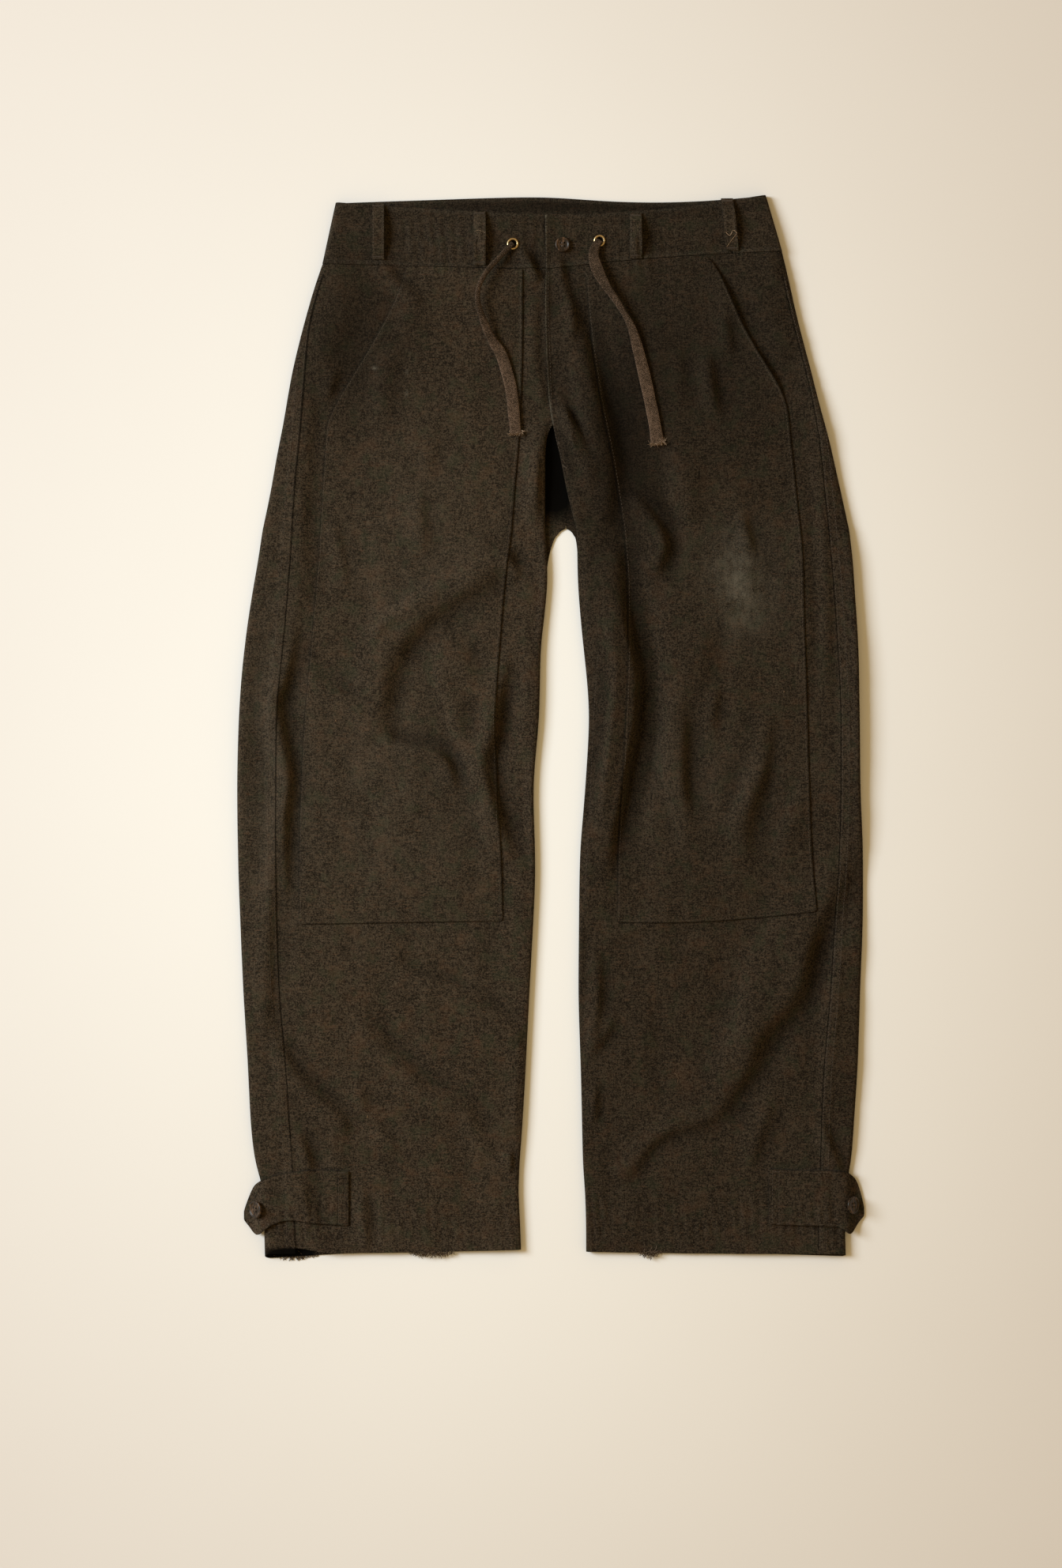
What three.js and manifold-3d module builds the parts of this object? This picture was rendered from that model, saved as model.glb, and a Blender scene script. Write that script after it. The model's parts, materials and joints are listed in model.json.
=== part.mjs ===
// Canvas work pants, laid flat with the front up.
// Millimetres. +X is the wearer's left, +Y the waist, +Z up from the surface they lie on.
// Every section is drawn for one half: d is the distance from the middle line towards the
// side seam of that half, and y the distance above the hem.

import * as THREE from 'three';
import { mergeVertices } from 'three/addons/utils/BufferGeometryUtils.js';
import Module from 'manifold-3d';

const wasm = await Module();
wasm.setup();

const RIGHT = -1; // the wearer's right half, on the -X side
const LEFT = 1;

const CANVAS = 1.3; // one layer of canvas
const BAND = 2.4; // the waistband, folded double
const TAB = 2.2; // a hem tab, two layers
const LOOP = 1.8; // a belt loop, folded in three
const GAP = 0.35; // between pieces at a seam, and under what lies on a panel

const SIDE_FOLD = 4.5; // how far in from the edge the cloth has turned over
const INNER_FOLD = 4;
const DROP_REACH = 50; // how far in from the side the back hem shows
const SIDE_LIFT = 2; // the turned cloth springs up this much along the edges
const INNER_LIFT = 1.6;
const SIDE_SPREAD = 30;
const INNER_SPREAD = 24;
const LEAST_HEIGHT = 3.7; // the two layers never meet
const FLY_STEP = { [RIGHT]: -0.9, [LEFT]: 1 }; // the left front laps over the right one
const FLY_SPREAD = 18;
const ROW_STEP = 28; // between sections, along a leg
const CUTTER = 40; // long enough to pass through any piece here

// One row for each section, from the hem up. yOuter and yInner are its heights at the side
// and the inner edge, bow how far its middle lies above them. outer is the outline at the
// side, seam the side seam on top, panelOuter and panelInner the edges of the second layer
// (the pocket mouth, above), inner the inner edge or the fly, seat the edge of the back.
// loft is the height of the cloth, roll how far the inner edge is turned under, lap how far
// it runs under the fly, and drop how far the back hem shows below the front one.
const COLUMNS = ['name', 'yOuter', 'yInner', 'bow', 'outer', 'seam', 'panelOuter', 'panelInner',
  'inner', 'seat', 'loft', 'roll', 'lap', 'drop'];

const SECTIONS = {
  [RIGHT]: [
    ['hem', 8, 12, -1, 279, 249, 235, 48, 28.5, 30, 6, 1, 0, 5],
    ['hem_mid', 38, 41, 0, 280, 250, 236, 48, 29.5, 31, 5.8, 1, 0, 0],
    ['hem_stitch', 70, 73, 0, 280, 251, 236, 48, 31.5, 33, 5.8, 1, 0, 0],
    ['ankle', 94, 96, 0, 288, 252, 237, 48, 30, 31.5, 6, 1, 0, 0],
    ['calf_low', 136, 136, 0, 293, 255, 239, 48, 27, 28.5, 6.2, 1, 0, 0],
    ['calf', 198, 198, 0, 296, 259, 241, 48, 23.5, 25, 6.2, 1, 0, 0],
    ['shin', 259, 259, 0, 300, 265, 243, 48, 20.5, 22, 6.2, 1, 0, 0],
    ['patch_foot', 328, 333, 0, 303, 267, 245, 47, 16.5, 18, 6.2, 1, 0, 0],
    ['below_knee', 383, 383, 0, 305, 268, 246, 48, 14.5, 16, 6.4, 1, 0, 0],
    ['knee', 460, 460, 0, 306, 268, 244, 52, 16.5, 18, 6.6, 1, 0, 0],
    ['above_knee', 537, 537, 0, 304, 267, 240, 54, 10.5, 12, 6.6, 1, 0, 0],
    ['thigh_low', 598, 598, 0, 299, 261, 234, 50, 9.5, 11, 6.6, 1, 0, 0],
    ['thigh', 660, 660, 0, 290, 256, 229, 45, 2.5, 4, 6.4, 1, 0, 0],
    ['crotch_end', 681, 681, 0, 286, 254, 227, 42.5, 3, 4, 6.4, 1, 0, 0],
    ['notch_low', 711, 711, 0, 281.7, 252.2, 225.2, 38.5, 4.9, -4.2, 6.2, 1, 0, 0],
    ['notch_top', 715, 715, 0, 281, 252, 225, 38, 5, -13.9, 6.2, 1, 0, 0],
    ['seat', 752, 752, 0, 273, 250, 223, 35.5, 5, -14.6, 6.2, 1, 0, 0],
    ['crotch', 783, 783, 0, 268, 247, 221, 32.5, 5, -13.1, 6.2, 1, 0, 0],
    ['fly_end', 808, 808, 0, 263, 244, 219, 30.5, 4, -10.8, 6.2, 0.5, 0, 0],
    ['pocket_foot', 823, 823, 0, 260, 243, 218, 29.5, 1, -9.2, 6, 0, 8, 0],
    ['pocket_low', 860, 860, 0, 254, 240, 196, 28.5, 3, -6.2, 6, 0, 12, 0],
    ['pocket_high', 906, 906, 0, 243, 236, 168, 27.5, 5, -3.1, 6, 0, 12, 0],
    ['yoke', 952, 951, 0, 230, 225, 146, 27.5, 5.5, -0.8, 6, 0, 12, 0],
    ['waist_seam', 972, 967, 0, 223, 217.5, 140, 27.5, 4.8, 0, 6.2, 0, 12, 0],
  ],
  [LEFT]: [
    ['hem', 8, 10, -1, 288, 261, 249, 68, 34, 35.5, 6, 1, 0, 3],
    ['hem_mid', 38, 39, 0, 287, 261, 249, 68, 34, 35.5, 5.8, 1, 0, 0],
    ['hem_stitch', 70, 69, 0, 287, 262, 249, 68, 33, 34.5, 5.8, 1, 0, 0],
    ['ankle', 94, 92, 0, 293, 263, 250, 68, 31, 32.5, 6, 1, 0, 0],
    ['calf_low', 136, 136, 0, 296, 264, 251, 68, 30, 31.5, 6.2, 1, 0, 0],
    ['calf', 198, 198, 0, 300, 267, 253, 67, 28.5, 30, 6.2, 1, 0, 0],
    ['shin', 263, 259, 0, 302, 273, 256, 66, 26.5, 28, 6.2, 1, 0, 0],
    ['patch_foot', 350, 333, -9, 305, 278, 259, 65, 27, 28.5, 6.2, 1, 0, 0],
    ['below_knee', 388, 384, -2, 305, 281, 255, 65, 27.5, 29, 6.4, 1, 0, 0],
    ['knee', 460, 460, 0, 302, 283, 252, 69, 33, 34.5, 6.6, 1, 0, 0],
    ['above_knee', 537, 537, 0, 301, 283, 250, 73, 37, 38.5, 6.6, 1, 0, 0],
    ['thigh_low', 598, 598, 0, 300, 280, 248, 75, 31.5, 33, 6.6, 1, 0, 0],
    ['thigh', 660, 660, 0, 296, 276, 246, 75, 26, 27.5, 6.4, 1, 0, 0],
    ['crotch_end', 681, 681, 0, 295, 274, 246, 74, 25.5, 26.5, 6.4, 1, 0, 0],
    ['notch_low', 711, 711, 0, 291.5, 271.2, 243.7, 71.2, 25.2, 25.2, 6.2, 1, 0, 0],
    ['notch_top', 715, 715, 0, 291, 271, 243, 71, 24.5, 15.6, 6.2, 1, 0, 0],
    ['seat', 752, 752, 0, 283, 267, 239, 65, 14.5, 15.2, 6.2, 1, 0, 0],
    ['crotch', 783, 783, 0, 276, 264, 236, 60, 9.5, 13.7, 6.2, 1, 0, 0],
    ['fly_end', 808, 808, 0, 270, 261, 233, 54.5, 2.5, 11.4, 6.2, 0.3, 0, 0],
    ['pocket_foot', 839, 837, 0, 261, 255.5, 231, 48.5, -2, 8.4, 6, 0, 0, 0],
    ['pocket_low', 865, 860, 0, 255, 249.5, 216, 45, -3, 6.8, 6, 0, 0, 0],
    ['pocket_high', 914, 906, 0, 242, 236.5, 187, 38.5, -5, 3.7, 6, 0, 0, 0],
    ['yoke', 963, 951, 1.5, 231, 225.5, 166, 34.5, -5.5, 1.4, 6, 0, 0, 0],
    ['waist_seam', 984, 967, 3, 226, 220.5, 154, 33, -4.6, 0.6, 6.2, 0, 0, 0],
  ],
};

// The largest folds: how wide, how deep (up is positive), and where they run, as x, y.
const FOLDS = {
  [RIGHT]: [
    { name: 'knee_ridge', width: 15, depth: 6, path: [[-60, 668], [-117, 640], [-160, 603],
      [-178, 555], [-182, 515]] },
    { name: 'knee_valley', width: 14, depth: -4.5, path: [[-100, 630], [-148, 596], [-161, 557],
      [-166, 522]] },
    { name: 'knee_turn', width: 13, depth: -4, path: [[-166, 528], [-137, 504], [-107, 500], [-89, 470]] },
    { name: 'below_turn', width: 16, depth: 3.5, path: [[-185, 490], [-150, 474], [-118, 468],
      [-100, 430]] },
    { name: 'inner_crease', width: 11, depth: -3, path: [[-78, 525], [-66, 482], [-56, 450]] },
    { name: 'side_crease', width: 10, depth: -2.5, path: [[-232, 578], [-206, 550]] },
    { name: 'shin_crease', width: 14, depth: -2.5, path: [[-150, 292], [-80, 262]] },
    { name: 'calf_side', width: 13, depth: -3, path: [[-262, 214], [-239, 178], [-200, 148]] },
    { name: 'calf_side_ridge', width: 15, depth: 3, path: [[-266, 182], [-240, 146], [-205, 118]] },
    { name: 'calf_valley', width: 14, depth: -3.5, path: [[-160, 206], [-126, 178], [-75, 129],
      [-45, 98]] },
    { name: 'calf_ridge', width: 16, depth: 3.5, path: [[-128, 214], [-90, 176], [-52, 136]] },
    { name: 'above_tab', width: 11, depth: -3, path: [[-248, 130], [-234, 96]] },
    { name: 'hip_ridge', width: 18, depth: 2, path: [[-110, 930], [-100, 850], [-112, 770]] },
  ],
  [LEFT]: [
    { name: 'inner_ridge', width: 15, depth: 7, path: [[46, 690], [56, 620], [62, 565], [60, 512],
      [46, 455]] },
    { name: 'knee_valley', width: 15, depth: -5, path: [[74, 700], [84, 633], [90, 583], [87, 537],
      [80, 490], [66, 450], [58, 415]] },
    { name: 'outer_ridge', width: 17, depth: 5, path: [[104, 690], [116, 630], [120, 575],
      [114, 515], [100, 460]] },
    { name: 'thigh_crease', width: 11, depth: -3.5, path: [[88, 750], [101, 725], [108, 690]] },
    { name: 'knee_mid', width: 13, depth: -2.5, path: [[130, 510], [137, 435]] },
    { name: 'knee_side', width: 13, depth: -2.5, path: [[172, 590], [160, 545], [166, 515]] },
    { name: 'knee_far', width: 13, depth: -2.5, path: [[216, 585], [212, 540]] },
    { name: 'shin_ridge', width: 15, depth: 6, path: [[240, 325], [228, 283], [196, 236],
      [176, 190], [150, 160]] },
    { name: 'shin_valley', width: 14, depth: -4.5, path: [[262, 332], [250, 289], [218, 240],
      [199, 195], [180, 168], [158, 136]] },
    { name: 'shin_outer_ridge', width: 16, depth: 4, path: [[274, 292], [242, 228], [220, 184],
      [196, 148]] },
    { name: 'fly_side', width: 11, depth: -2.5, path: [[32, 925], [44, 883], [47, 840]] },
    { name: 'fly_bulge', width: 9, depth: 2.5, path: [[9, 830], [12, 800]] },
    { name: 'crotch_crease', width: 8, depth: -2.5, path: [[20, 824], [30, 798], [36, 782]] },
    { name: 'hip_valley', width: 16, depth: -2.5, path: [[158, 900], [166, 850]] },
  ],
};

const FOLD_END = 0.35; // what is left of a fold's depth at its two ends

const FRONT_COLUMNS = { side: 2, panel: 9, inside: 2, fold: 3 };
const BACK_COLUMNS = { flat: 4, fold: 5, top: 2 };

const canvas = new THREE.MeshStandardMaterial({ color: 0x2b2521, roughness: 0.92, metalness: 0 });
const panelCanvas = new THREE.MeshStandardMaterial({ color: 0x2e2824, roughness: 0.92, metalness: 0 });
const tape = new THREE.MeshStandardMaterial({ color: 0x372d25, roughness: 0.95, metalness: 0 });
const brass = new THREE.MeshStandardMaterial({ color: 0x8a6a3a, roughness: 0.4, metalness: 1 });
const horn = new THREE.MeshStandardMaterial({ color: 0x241a14, roughness: 0.35, metalness: 0 });

const pants = new THREE.Group();

function addMesh(name, geometry, material) {
  const mesh = new THREE.Mesh(geometry, material);
  mesh.name = name;
  pants.add(mesh);
  return mesh;
}

// ---- sections -------------------------------------------------------------------------

const asRow = (values) => Object.fromEntries(COLUMNS.map((column, k) => [column, values[k]]));

// The slope of a smooth outline where two stretches meet, which never swings past either.
const gentler = (a, b) => (a * b > 0 ? (2 * a * b) / (a + b) : 0);

function rowBetween(table, k, share) {
  const at = (i) => table[THREE.MathUtils.clamp(i, 0, table.length - 1)];
  const [before, low, high, after] = [at(k - 1), at(k), at(k + 1), at(k + 2)];
  const step = high.yOuter - low.yOuter;
  const blend = (column) => {
    const slope = (a, b) => (a === b ? 0 : (b[column] - a[column]) / (b.yOuter - a.yOuter));
    const leave = gentler(slope(before, low), slope(low, high)) * step;
    const arrive = gentler(slope(low, high), slope(high, after)) * step;
    const s = share;
    return low[column] * (2 * s ** 3 - 3 * s ** 2 + 1) + leave * (s ** 3 - 2 * s ** 2 + s)
      + high[column] * (3 * s ** 2 - 2 * s ** 3) + arrive * (s ** 3 - s ** 2);
  };
  const row = Object.fromEntries(COLUMNS.slice(1).map((column) => [column, blend(column)]));
  row.name = share === 0 ? low.name : '';
  return row;
}

function sectionsOf(side) {
  const table = SECTIONS[side].map(asRow);
  const rows = [];
  for (let k = 0; k < table.length - 1; k += 1) {
    const count = Math.max(1, Math.round((table[k + 1].yOuter - table[k].yOuter) / ROW_STEP));
    for (let i = 0; i < count; i += 1) rows.push(rowBetween(table, k, i / count));
  }
  rows.push(table.at(-1));
  return rows;
}

const rowsOf = { [RIGHT]: sectionsOf(RIGHT), [LEFT]: sectionsOf(LEFT) };

function alongRow(row, d) {
  const u = THREE.MathUtils.clamp((row.outer - d) / (row.outer - row.inner), 0, 1);
  return row.yOuter + (row.yInner - row.yOuter) * u + row.bow * 4 * u * (1 - u);
}

const swell = (distance, spread) => Math.exp(-((distance / spread) ** 2));

function foldHeight(fold, x, y) {
  const place = new THREE.Vector2(x, y);
  const points = fold.path.map(([px, py]) => new THREE.Vector2(px, py));
  const lengths = points.slice(1).map((point, k) => point.distanceTo(points[k]));
  const whole = lengths.reduce((sum, length) => sum + length, 0);
  let nearest = Infinity;
  let along = 0;
  let run = 0;
  lengths.forEach((length, k) => {
    const step = points[k + 1].clone().sub(points[k]);
    const share = THREE.MathUtils.clamp(place.clone().sub(points[k]).dot(step) / length ** 2, 0, 1);
    const distance = place.distanceTo(points[k].clone().addScaledVector(step, share));
    if (distance < nearest) {
      nearest = distance;
      along = (run + share * length) / whole;
    }
    run += length;
  });
  const fade = FOLD_END + (1 - FOLD_END) * Math.sin(Math.PI * along);
  return fold.depth * fade * swell(nearest, fold.width);
}

// The height of the upper layer's outer face.
function topHeight(side, row, d, y) {
  const folds = FOLDS[side].reduce((sum, fold) => sum + foldHeight(fold, side * d, y), 0);
  const height = row.loft + folds
    + SIDE_LIFT * swell(row.outer - SIDE_FOLD - d, SIDE_SPREAD)
    + INNER_LIFT * row.roll * swell(d - row.inner - INNER_FOLD, INNER_SPREAD)
    + FLY_STEP[side] * (1 - row.roll) * swell(Math.max(d - row.inner, 0), FLY_SPREAD);
  return Math.max(height, LEAST_HEIGHT);
}

function topPoint(side, row, d) {
  const y = alongRow(row, d);
  return new THREE.Vector3(side * d, y, topHeight(side, row, d, y));
}

const spaced = (from, to, count) =>
  Array.from({ length: count }, (_, k) => from + ((to - from) * (k + 1)) / count);

// The half turn at a side edge, from the surface up to the upper layer.
function sideTurn(side, row, fold, height, count, drop) {
  return spaced(-90, 90, count).map((angle) => {
    const turn = THREE.MathUtils.degToRad(angle);
    const d = row.outer - fold + fold * Math.cos(turn);
    const rise = (1 + Math.sin(turn)) / 2;
    return new THREE.Vector3(side * d, alongRow(row, d) - drop * (1 - rise), height * rise);
  });
}

// The back hem shows below the front one only near the side.
const hemDrop = (row, d) => row.drop * swell(row.outer - d, DROP_REACH);

function backSection(side, row) {
  const edge = row.outer - SIDE_FOLD;
  const height = topHeight(side, row, edge, alongRow(row, edge));
  const flat = [row.seat, ...spaced(row.seat, edge, BACK_COLUMNS.flat)]
    .map((d) => new THREE.Vector3(side * d, alongRow(row, d) - hemDrop(row, d), 0));
  const turned = sideTurn(side, row, SIDE_FOLD, height, BACK_COLUMNS.fold, hemDrop(row, edge));
  const top = spaced(edge, Math.min(row.seam, edge - GAP), BACK_COLUMNS.top)
    .map((d) => topPoint(side, row, d));
  return [...flat, ...turned, ...top];
}

// The inner edge turns under along a leg, and lies flat under or over the fly above it.
function innerTurn(side, row, height) {
  const lowest = CANVAS + GAP;
  return spaced(90, -60, FRONT_COLUMNS.fold).map((angle, k) => {
    const turn = THREE.MathUtils.degToRad(angle);
    const share = (k + 1) / FRONT_COLUMNS.fold;
    const turned = {
      d: row.inner + INNER_FOLD * (1 - Math.cos(turn)),
      z: lowest + ((height - lowest) * (1 + Math.sin(turn))) / 2,
    };
    const flatD = row.inner + INNER_FOLD * (1 - share) - row.lap * share;
    const flat = { d: flatD, z: topHeight(side, row, flatD, alongRow(row, flatD)) };
    const d = THREE.MathUtils.lerp(flat.d, turned.d, row.roll);
    const z = THREE.MathUtils.lerp(flat.z, turned.z, row.roll);
    return new THREE.Vector3(side * d, alongRow(row, d), z);
  });
}

function frontSection(side, row) {
  const start = Math.min(row.seam, row.outer - SIDE_FOLD - GAP) - GAP;
  const end = row.inner + INNER_FOLD;
  const distances = [start,
    ...spaced(start, row.panelOuter, FRONT_COLUMNS.side),
    ...spaced(row.panelOuter, row.panelInner, FRONT_COLUMNS.panel),
    ...spaced(row.panelInner, end, FRONT_COLUMNS.inside)];
  const top = distances.map((d) => topPoint(side, row, d));
  return [...top, ...innerTurn(side, row, top.at(-1).z)];
}

// ---- walls ----------------------------------------------------------------------------

// The grid moved by the wall's thickness, towards the inside of the garment.
function inward(grid, wall, sign) {
  const at = (r, c) => grid[THREE.MathUtils.clamp(r, 0, grid.length - 1)][
    THREE.MathUtils.clamp(c, 0, grid[0].length - 1)];
  return grid.map((line, r) => line.map((point, c) => {
    const across = at(r, c + 1).clone().sub(at(r, c - 1));
    const up = at(r + 1, c).clone().sub(at(r - 1, c));
    const moved = point.clone().addScaledVector(across.cross(up).normalize(), sign * wall);
    moved.z = Math.max(moved.z, 0);
    return moved;
  }));
}

const raised = (grid, height) => grid.map((line) =>
  line.map((point) => point.clone().add(new THREE.Vector3(0, 0, height))));

// A closed wall between two grids of the same size.
function wallBetween(outer, inner) {
  const rows = outer.length;
  const columns = outer[0].length;
  const index = (layer, r, c) => layer * rows * columns + r * columns + c;
  const faces = [];
  const quad = (a, b, c, d) => faces.push(a, b, c, a, c, d);
  for (let r = 0; r < rows - 1; r += 1) {
    for (let c = 0; c < columns - 1; c += 1) {
      quad(index(0, r, c), index(0, r, c + 1), index(0, r + 1, c + 1), index(0, r + 1, c));
      quad(index(1, r, c), index(1, r + 1, c), index(1, r + 1, c + 1), index(1, r, c + 1));
    }
    quad(index(0, r, 0), index(0, r + 1, 0), index(1, r + 1, 0), index(1, r, 0));
    const last = columns - 1;
    quad(index(1, r, last), index(1, r + 1, last), index(0, r + 1, last), index(0, r, last));
  }
  for (let c = 0; c < columns - 1; c += 1) {
    quad(index(1, 0, c), index(1, 0, c + 1), index(0, 0, c + 1), index(0, 0, c));
    const last = rows - 1;
    quad(index(0, last, c), index(0, last, c + 1), index(1, last, c + 1), index(1, last, c));
  }
  const points = [...outer.flat(), ...inner.flat()];
  if (signedVolume(points, faces) < 0) faces.reverse();
  const geometry = new THREE.BufferGeometry().setFromPoints(points);
  geometry.setIndex(faces);
  geometry.computeVertexNormals();
  return geometry;
}

function signedVolume(points, faces) {
  let volume = 0;
  for (let k = 0; k < faces.length; k += 3) {
    const [a, b, c] = [points[faces[k]], points[faces[k + 1]], points[faces[k + 2]]];
    volume += a.dot(b.clone().cross(c)) / 6;
  }
  return volume;
}

function toSolid(geometry) {
  const bare = geometry.clone();
  bare.deleteAttribute('normal');
  bare.deleteAttribute('uv');
  const merged = mergeVertices(bare, 1e-4);
  return new wasm.Manifold(new wasm.Mesh({
    numProp: 3,
    vertProperties: new Float32Array(merged.attributes.position.array),
    triVerts: new Uint32Array(merged.index.array),
  }));
}

function toGeometry(solid) {
  const mesh = solid.getMesh();
  const geometry = new THREE.BufferGeometry();
  geometry.setAttribute('position', new THREE.BufferAttribute(new Float32Array(mesh.vertProperties), 3));
  geometry.setIndex(Array.from(mesh.triVerts));
  geometry.computeVertexNormals();
  return geometry;
}

// A geometry with others cut out of it.
const cutBy = (geometry, tools) => toGeometry(
  tools.reduce((solid, tool) => solid.subtract(toSolid(tool)), toSolid(geometry)));

// ---- fronts, backs and the second layer ---------------------------------------------------

const SIDE_NAME = { [RIGHT]: 'right', [LEFT]: 'left' };
const FOOT_ROW = 'patch_foot';
const MOUTH_FOOT = 'pocket_foot';
const MOUTH_GAPE = { [RIGHT]: 0.4, [LEFT]: 2.6 }; // how far each pocket mouth stands open
const MOUTH_COLUMNS = 3;

function addHalf(side) {
  const rows = rowsOf[side];
  const name = SIDE_NAME[side];
  const back = rows.map((row) => backSection(side, row));
  addMesh(`back_${name}`, wallBetween(back, inward(back, CANVAS, side)), canvas);
  const front = rows.map((row) => frontSection(side, row));
  addMesh(`front_${name}`, wallBetween(front, inward(front, CANVAS, side)), canvas);
  addMesh(`double_front_${name}`, secondLayer(side, rows, front), panelCanvas);
}

// The second layer repeats the front's own points, moved out.
function secondLayer(side, rows, front) {
  const foot = rows.findIndex((row) => row.name === FOOT_ROW);
  const mouth = rows.findIndex((row) => row.name === MOUTH_FOOT);
  const first = FRONT_COLUMNS.side;
  const under = front.slice(foot).map((line, k) => {
    const points = line.slice(first, first + FRONT_COLUMNS.panel + 1);
    const up = Math.max(foot + k - mouth, 0) / (rows.length - 1 - mouth);
    return points.map((point, c) => {
      const gape = MOUTH_GAPE[side] * Math.sin(Math.PI * up) * Math.max(1 - c / MOUTH_COLUMNS, 0);
      return point.clone().add(new THREE.Vector3(0, 0, GAP + gape));
    });
  });
  return wallBetween(raised(under, CANVAS), under);
}

addHalf(RIGHT);
addHalf(LEFT);

// ---- waistband ------------------------------------------------------------------------

// The band's own edge, by half: outer and split are the side and the join under the side
// loop, at the seam and at the top. The heights are those of the front and the back edge.
const BAND_EDGE = {
  [RIGHT]: {
    outerTop: 210, splitSeam: 168, splitTop: 167.5, flyTop: 5.4,
    side: 1032.5, frontMiddle: 1021, frontBow: -0.8, backMiddle: 1039.5, backBow: 0,
  },
  [LEFT]: {
    outerTop: 210, splitSeam: 177, splitTop: 171.5, flyTop: -5.4,
    side: 1040, frontMiddle: 1021, frontBow: -4.6, backMiddle: 1039.5, backBow: -7,
  },
};
const BAND_LIFT = 1.2; // the band stands a little above the cloth it holds
const BAND_GAP = 0.6; // at the waist seam, whose two curves differ a little
const BAND_ROWS = 3;
const BAND_COLUMNS = { front: 8, fly: 2, flat: 4, fold: 5, top: 2 };
const BAND_FLY = 10;

const waistRow = { [RIGHT]: rowsOf[RIGHT].at(-1), [LEFT]: rowsOf[LEFT].at(-1) };

function bandRow(side, share) {
  const row = waistRow[side];
  const edge = BAND_EDGE[side];
  const mix = (low, high) => THREE.MathUtils.lerp(low, high, share);
  return {
    ...row,
    share,
    outer: mix(row.outer, edge.outerTop),
    inner: mix(row.inner, edge.flyTop),
    split: mix(edge.splitSeam, edge.splitTop),
  };
}

// A place on the band: back says how far round it is to the back, from 0 to 1.
function bandY(side, row, d, back) {
  const edge = BAND_EDGE[side];
  const u = THREE.MathUtils.clamp((row.outer - d) / (row.outer - row.inner), 0, 1);
  const arch = 4 * u * (1 - u);
  const seam = waistRow[side];
  const low = THREE.MathUtils.lerp(seam.yOuter, seam.yInner, u) + seam.bow * arch + BAND_GAP;
  const front = THREE.MathUtils.lerp(edge.side, edge.frontMiddle, u) + edge.frontBow * arch;
  const behind = THREE.MathUtils.lerp(edge.side, edge.backMiddle, u) + edge.backBow * arch;
  return THREE.MathUtils.lerp(low, THREE.MathUtils.lerp(front, behind, back), row.share);
}

function bandHeight(side, row, d) {
  return topHeight(side, waistRow[side], Math.min(d, waistRow[side].outer - SIDE_FOLD),
    waistRow[side].yOuter) + BAND_LIFT;
}

const bandPoint = (side, row, d) =>
  new THREE.Vector3(side * d, bandY(side, row, d, 0), bandHeight(side, row, d));

// From the join on one front, round the side and along the back to the middle.
function backBandHalf(side, share) {
  const row = bandRow(side, share);
  const edge = row.outer - SIDE_FOLD;
  const height = bandHeight(side, row, edge);
  const top = [row.split, ...spaced(row.split, edge, BAND_COLUMNS.top)]
    .map((d) => bandPoint(side, row, d));
  const turned = spaced(90, -90, BAND_COLUMNS.fold).map((angle) => {
    const turn = THREE.MathUtils.degToRad(angle);
    const d = edge + SIDE_FOLD * Math.cos(turn);
    const rise = (1 + Math.sin(turn)) / 2;
    return new THREE.Vector3(side * d, bandY(side, row, d, 1 - rise), height * rise);
  });
  const flat = spaced(edge, 0, BAND_COLUMNS.flat)
    .map((d) => new THREE.Vector3(side * d, bandY(side, row, d, 1), 0));
  return [...top, ...turned, ...flat];
}

const bandShares = [0, ...spaced(0, 1, BAND_ROWS)];

function addBackBand() {
  const grid = bandShares.map((share) => [
    ...backBandHalf(RIGHT, share).slice(0, -1),
    ...backBandHalf(LEFT, share).reverse(),
  ]);
  addMesh('waistband_back', wallBetween(grid, inward(grid, BAND, LEFT)), canvas);
}

const EYELETS = {
  [RIGHT]: { d: 37, y: 992 },
  [LEFT]: { d: 47.5, y: 995 },
};
const EYELET = { outer: 5.8, hole: 3.5, barrel: 4.3, rise: 1.5, lip: 0.9 };
const EYELET_SIDES = 16;

function addFrontBand(side) {
  const fly = side === RIGHT ? waistRow[RIGHT].lap : 0;
  const grid = bandShares.map((share) => {
    const row = bandRow(side, share);
    const start = row.split - GAP;
    const distances = [start, ...spaced(start, row.inner + BAND_FLY, BAND_COLUMNS.front),
      ...spaced(row.inner + BAND_FLY, row.inner - fly, BAND_COLUMNS.fly)];
    return distances.map((d) => bandPoint(side, row, d));
  });
  const lowered = side === RIGHT ? underFly(grid) : grid;
  const wall = wallBetween(lowered, raised(lowered, -BAND));
  const { d, y } = EYELETS[side];
  const radius = EYELET.barrel + GAP;
  const hole = new THREE.CylinderGeometry(radius, radius, CUTTER, EYELET_SIDES);
  hole.rotateX(Math.PI / 2).translate(side * d, y, 0);
  addMesh(`waistband_${SIDE_NAME[side]}`, cutBy(wall, [hole]), canvas);
}

const UNDER_FLY_SHIFT = 1.6; // and stays clear of the left front's upper edge

// The right end of the band drops a band's thickness where the left end lies on it.
function underFly(grid) {
  const drop = BAND + 2 * GAP - FLY_STEP[LEFT] + FLY_STEP[RIGHT];
  return grid.map((line) => line.map((point, c) => {
    const under = c >= line.length - BAND_COLUMNS.fly;
    return under ? point.clone().add(new THREE.Vector3(0, UNDER_FLY_SHIFT, -drop)) : point;
  }));
}

addBackBand();
addFrontBand(RIGHT);
addFrontBand(LEFT);

// ---- eyelets and buttons --------------------------------------------------------------

const lathe = (profile, sides) => new THREE.LatheGeometry(
  [...profile, profile[0]].map(([r, z]) => new THREE.Vector2(r, z)), sides).rotateX(Math.PI / 2);

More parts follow.
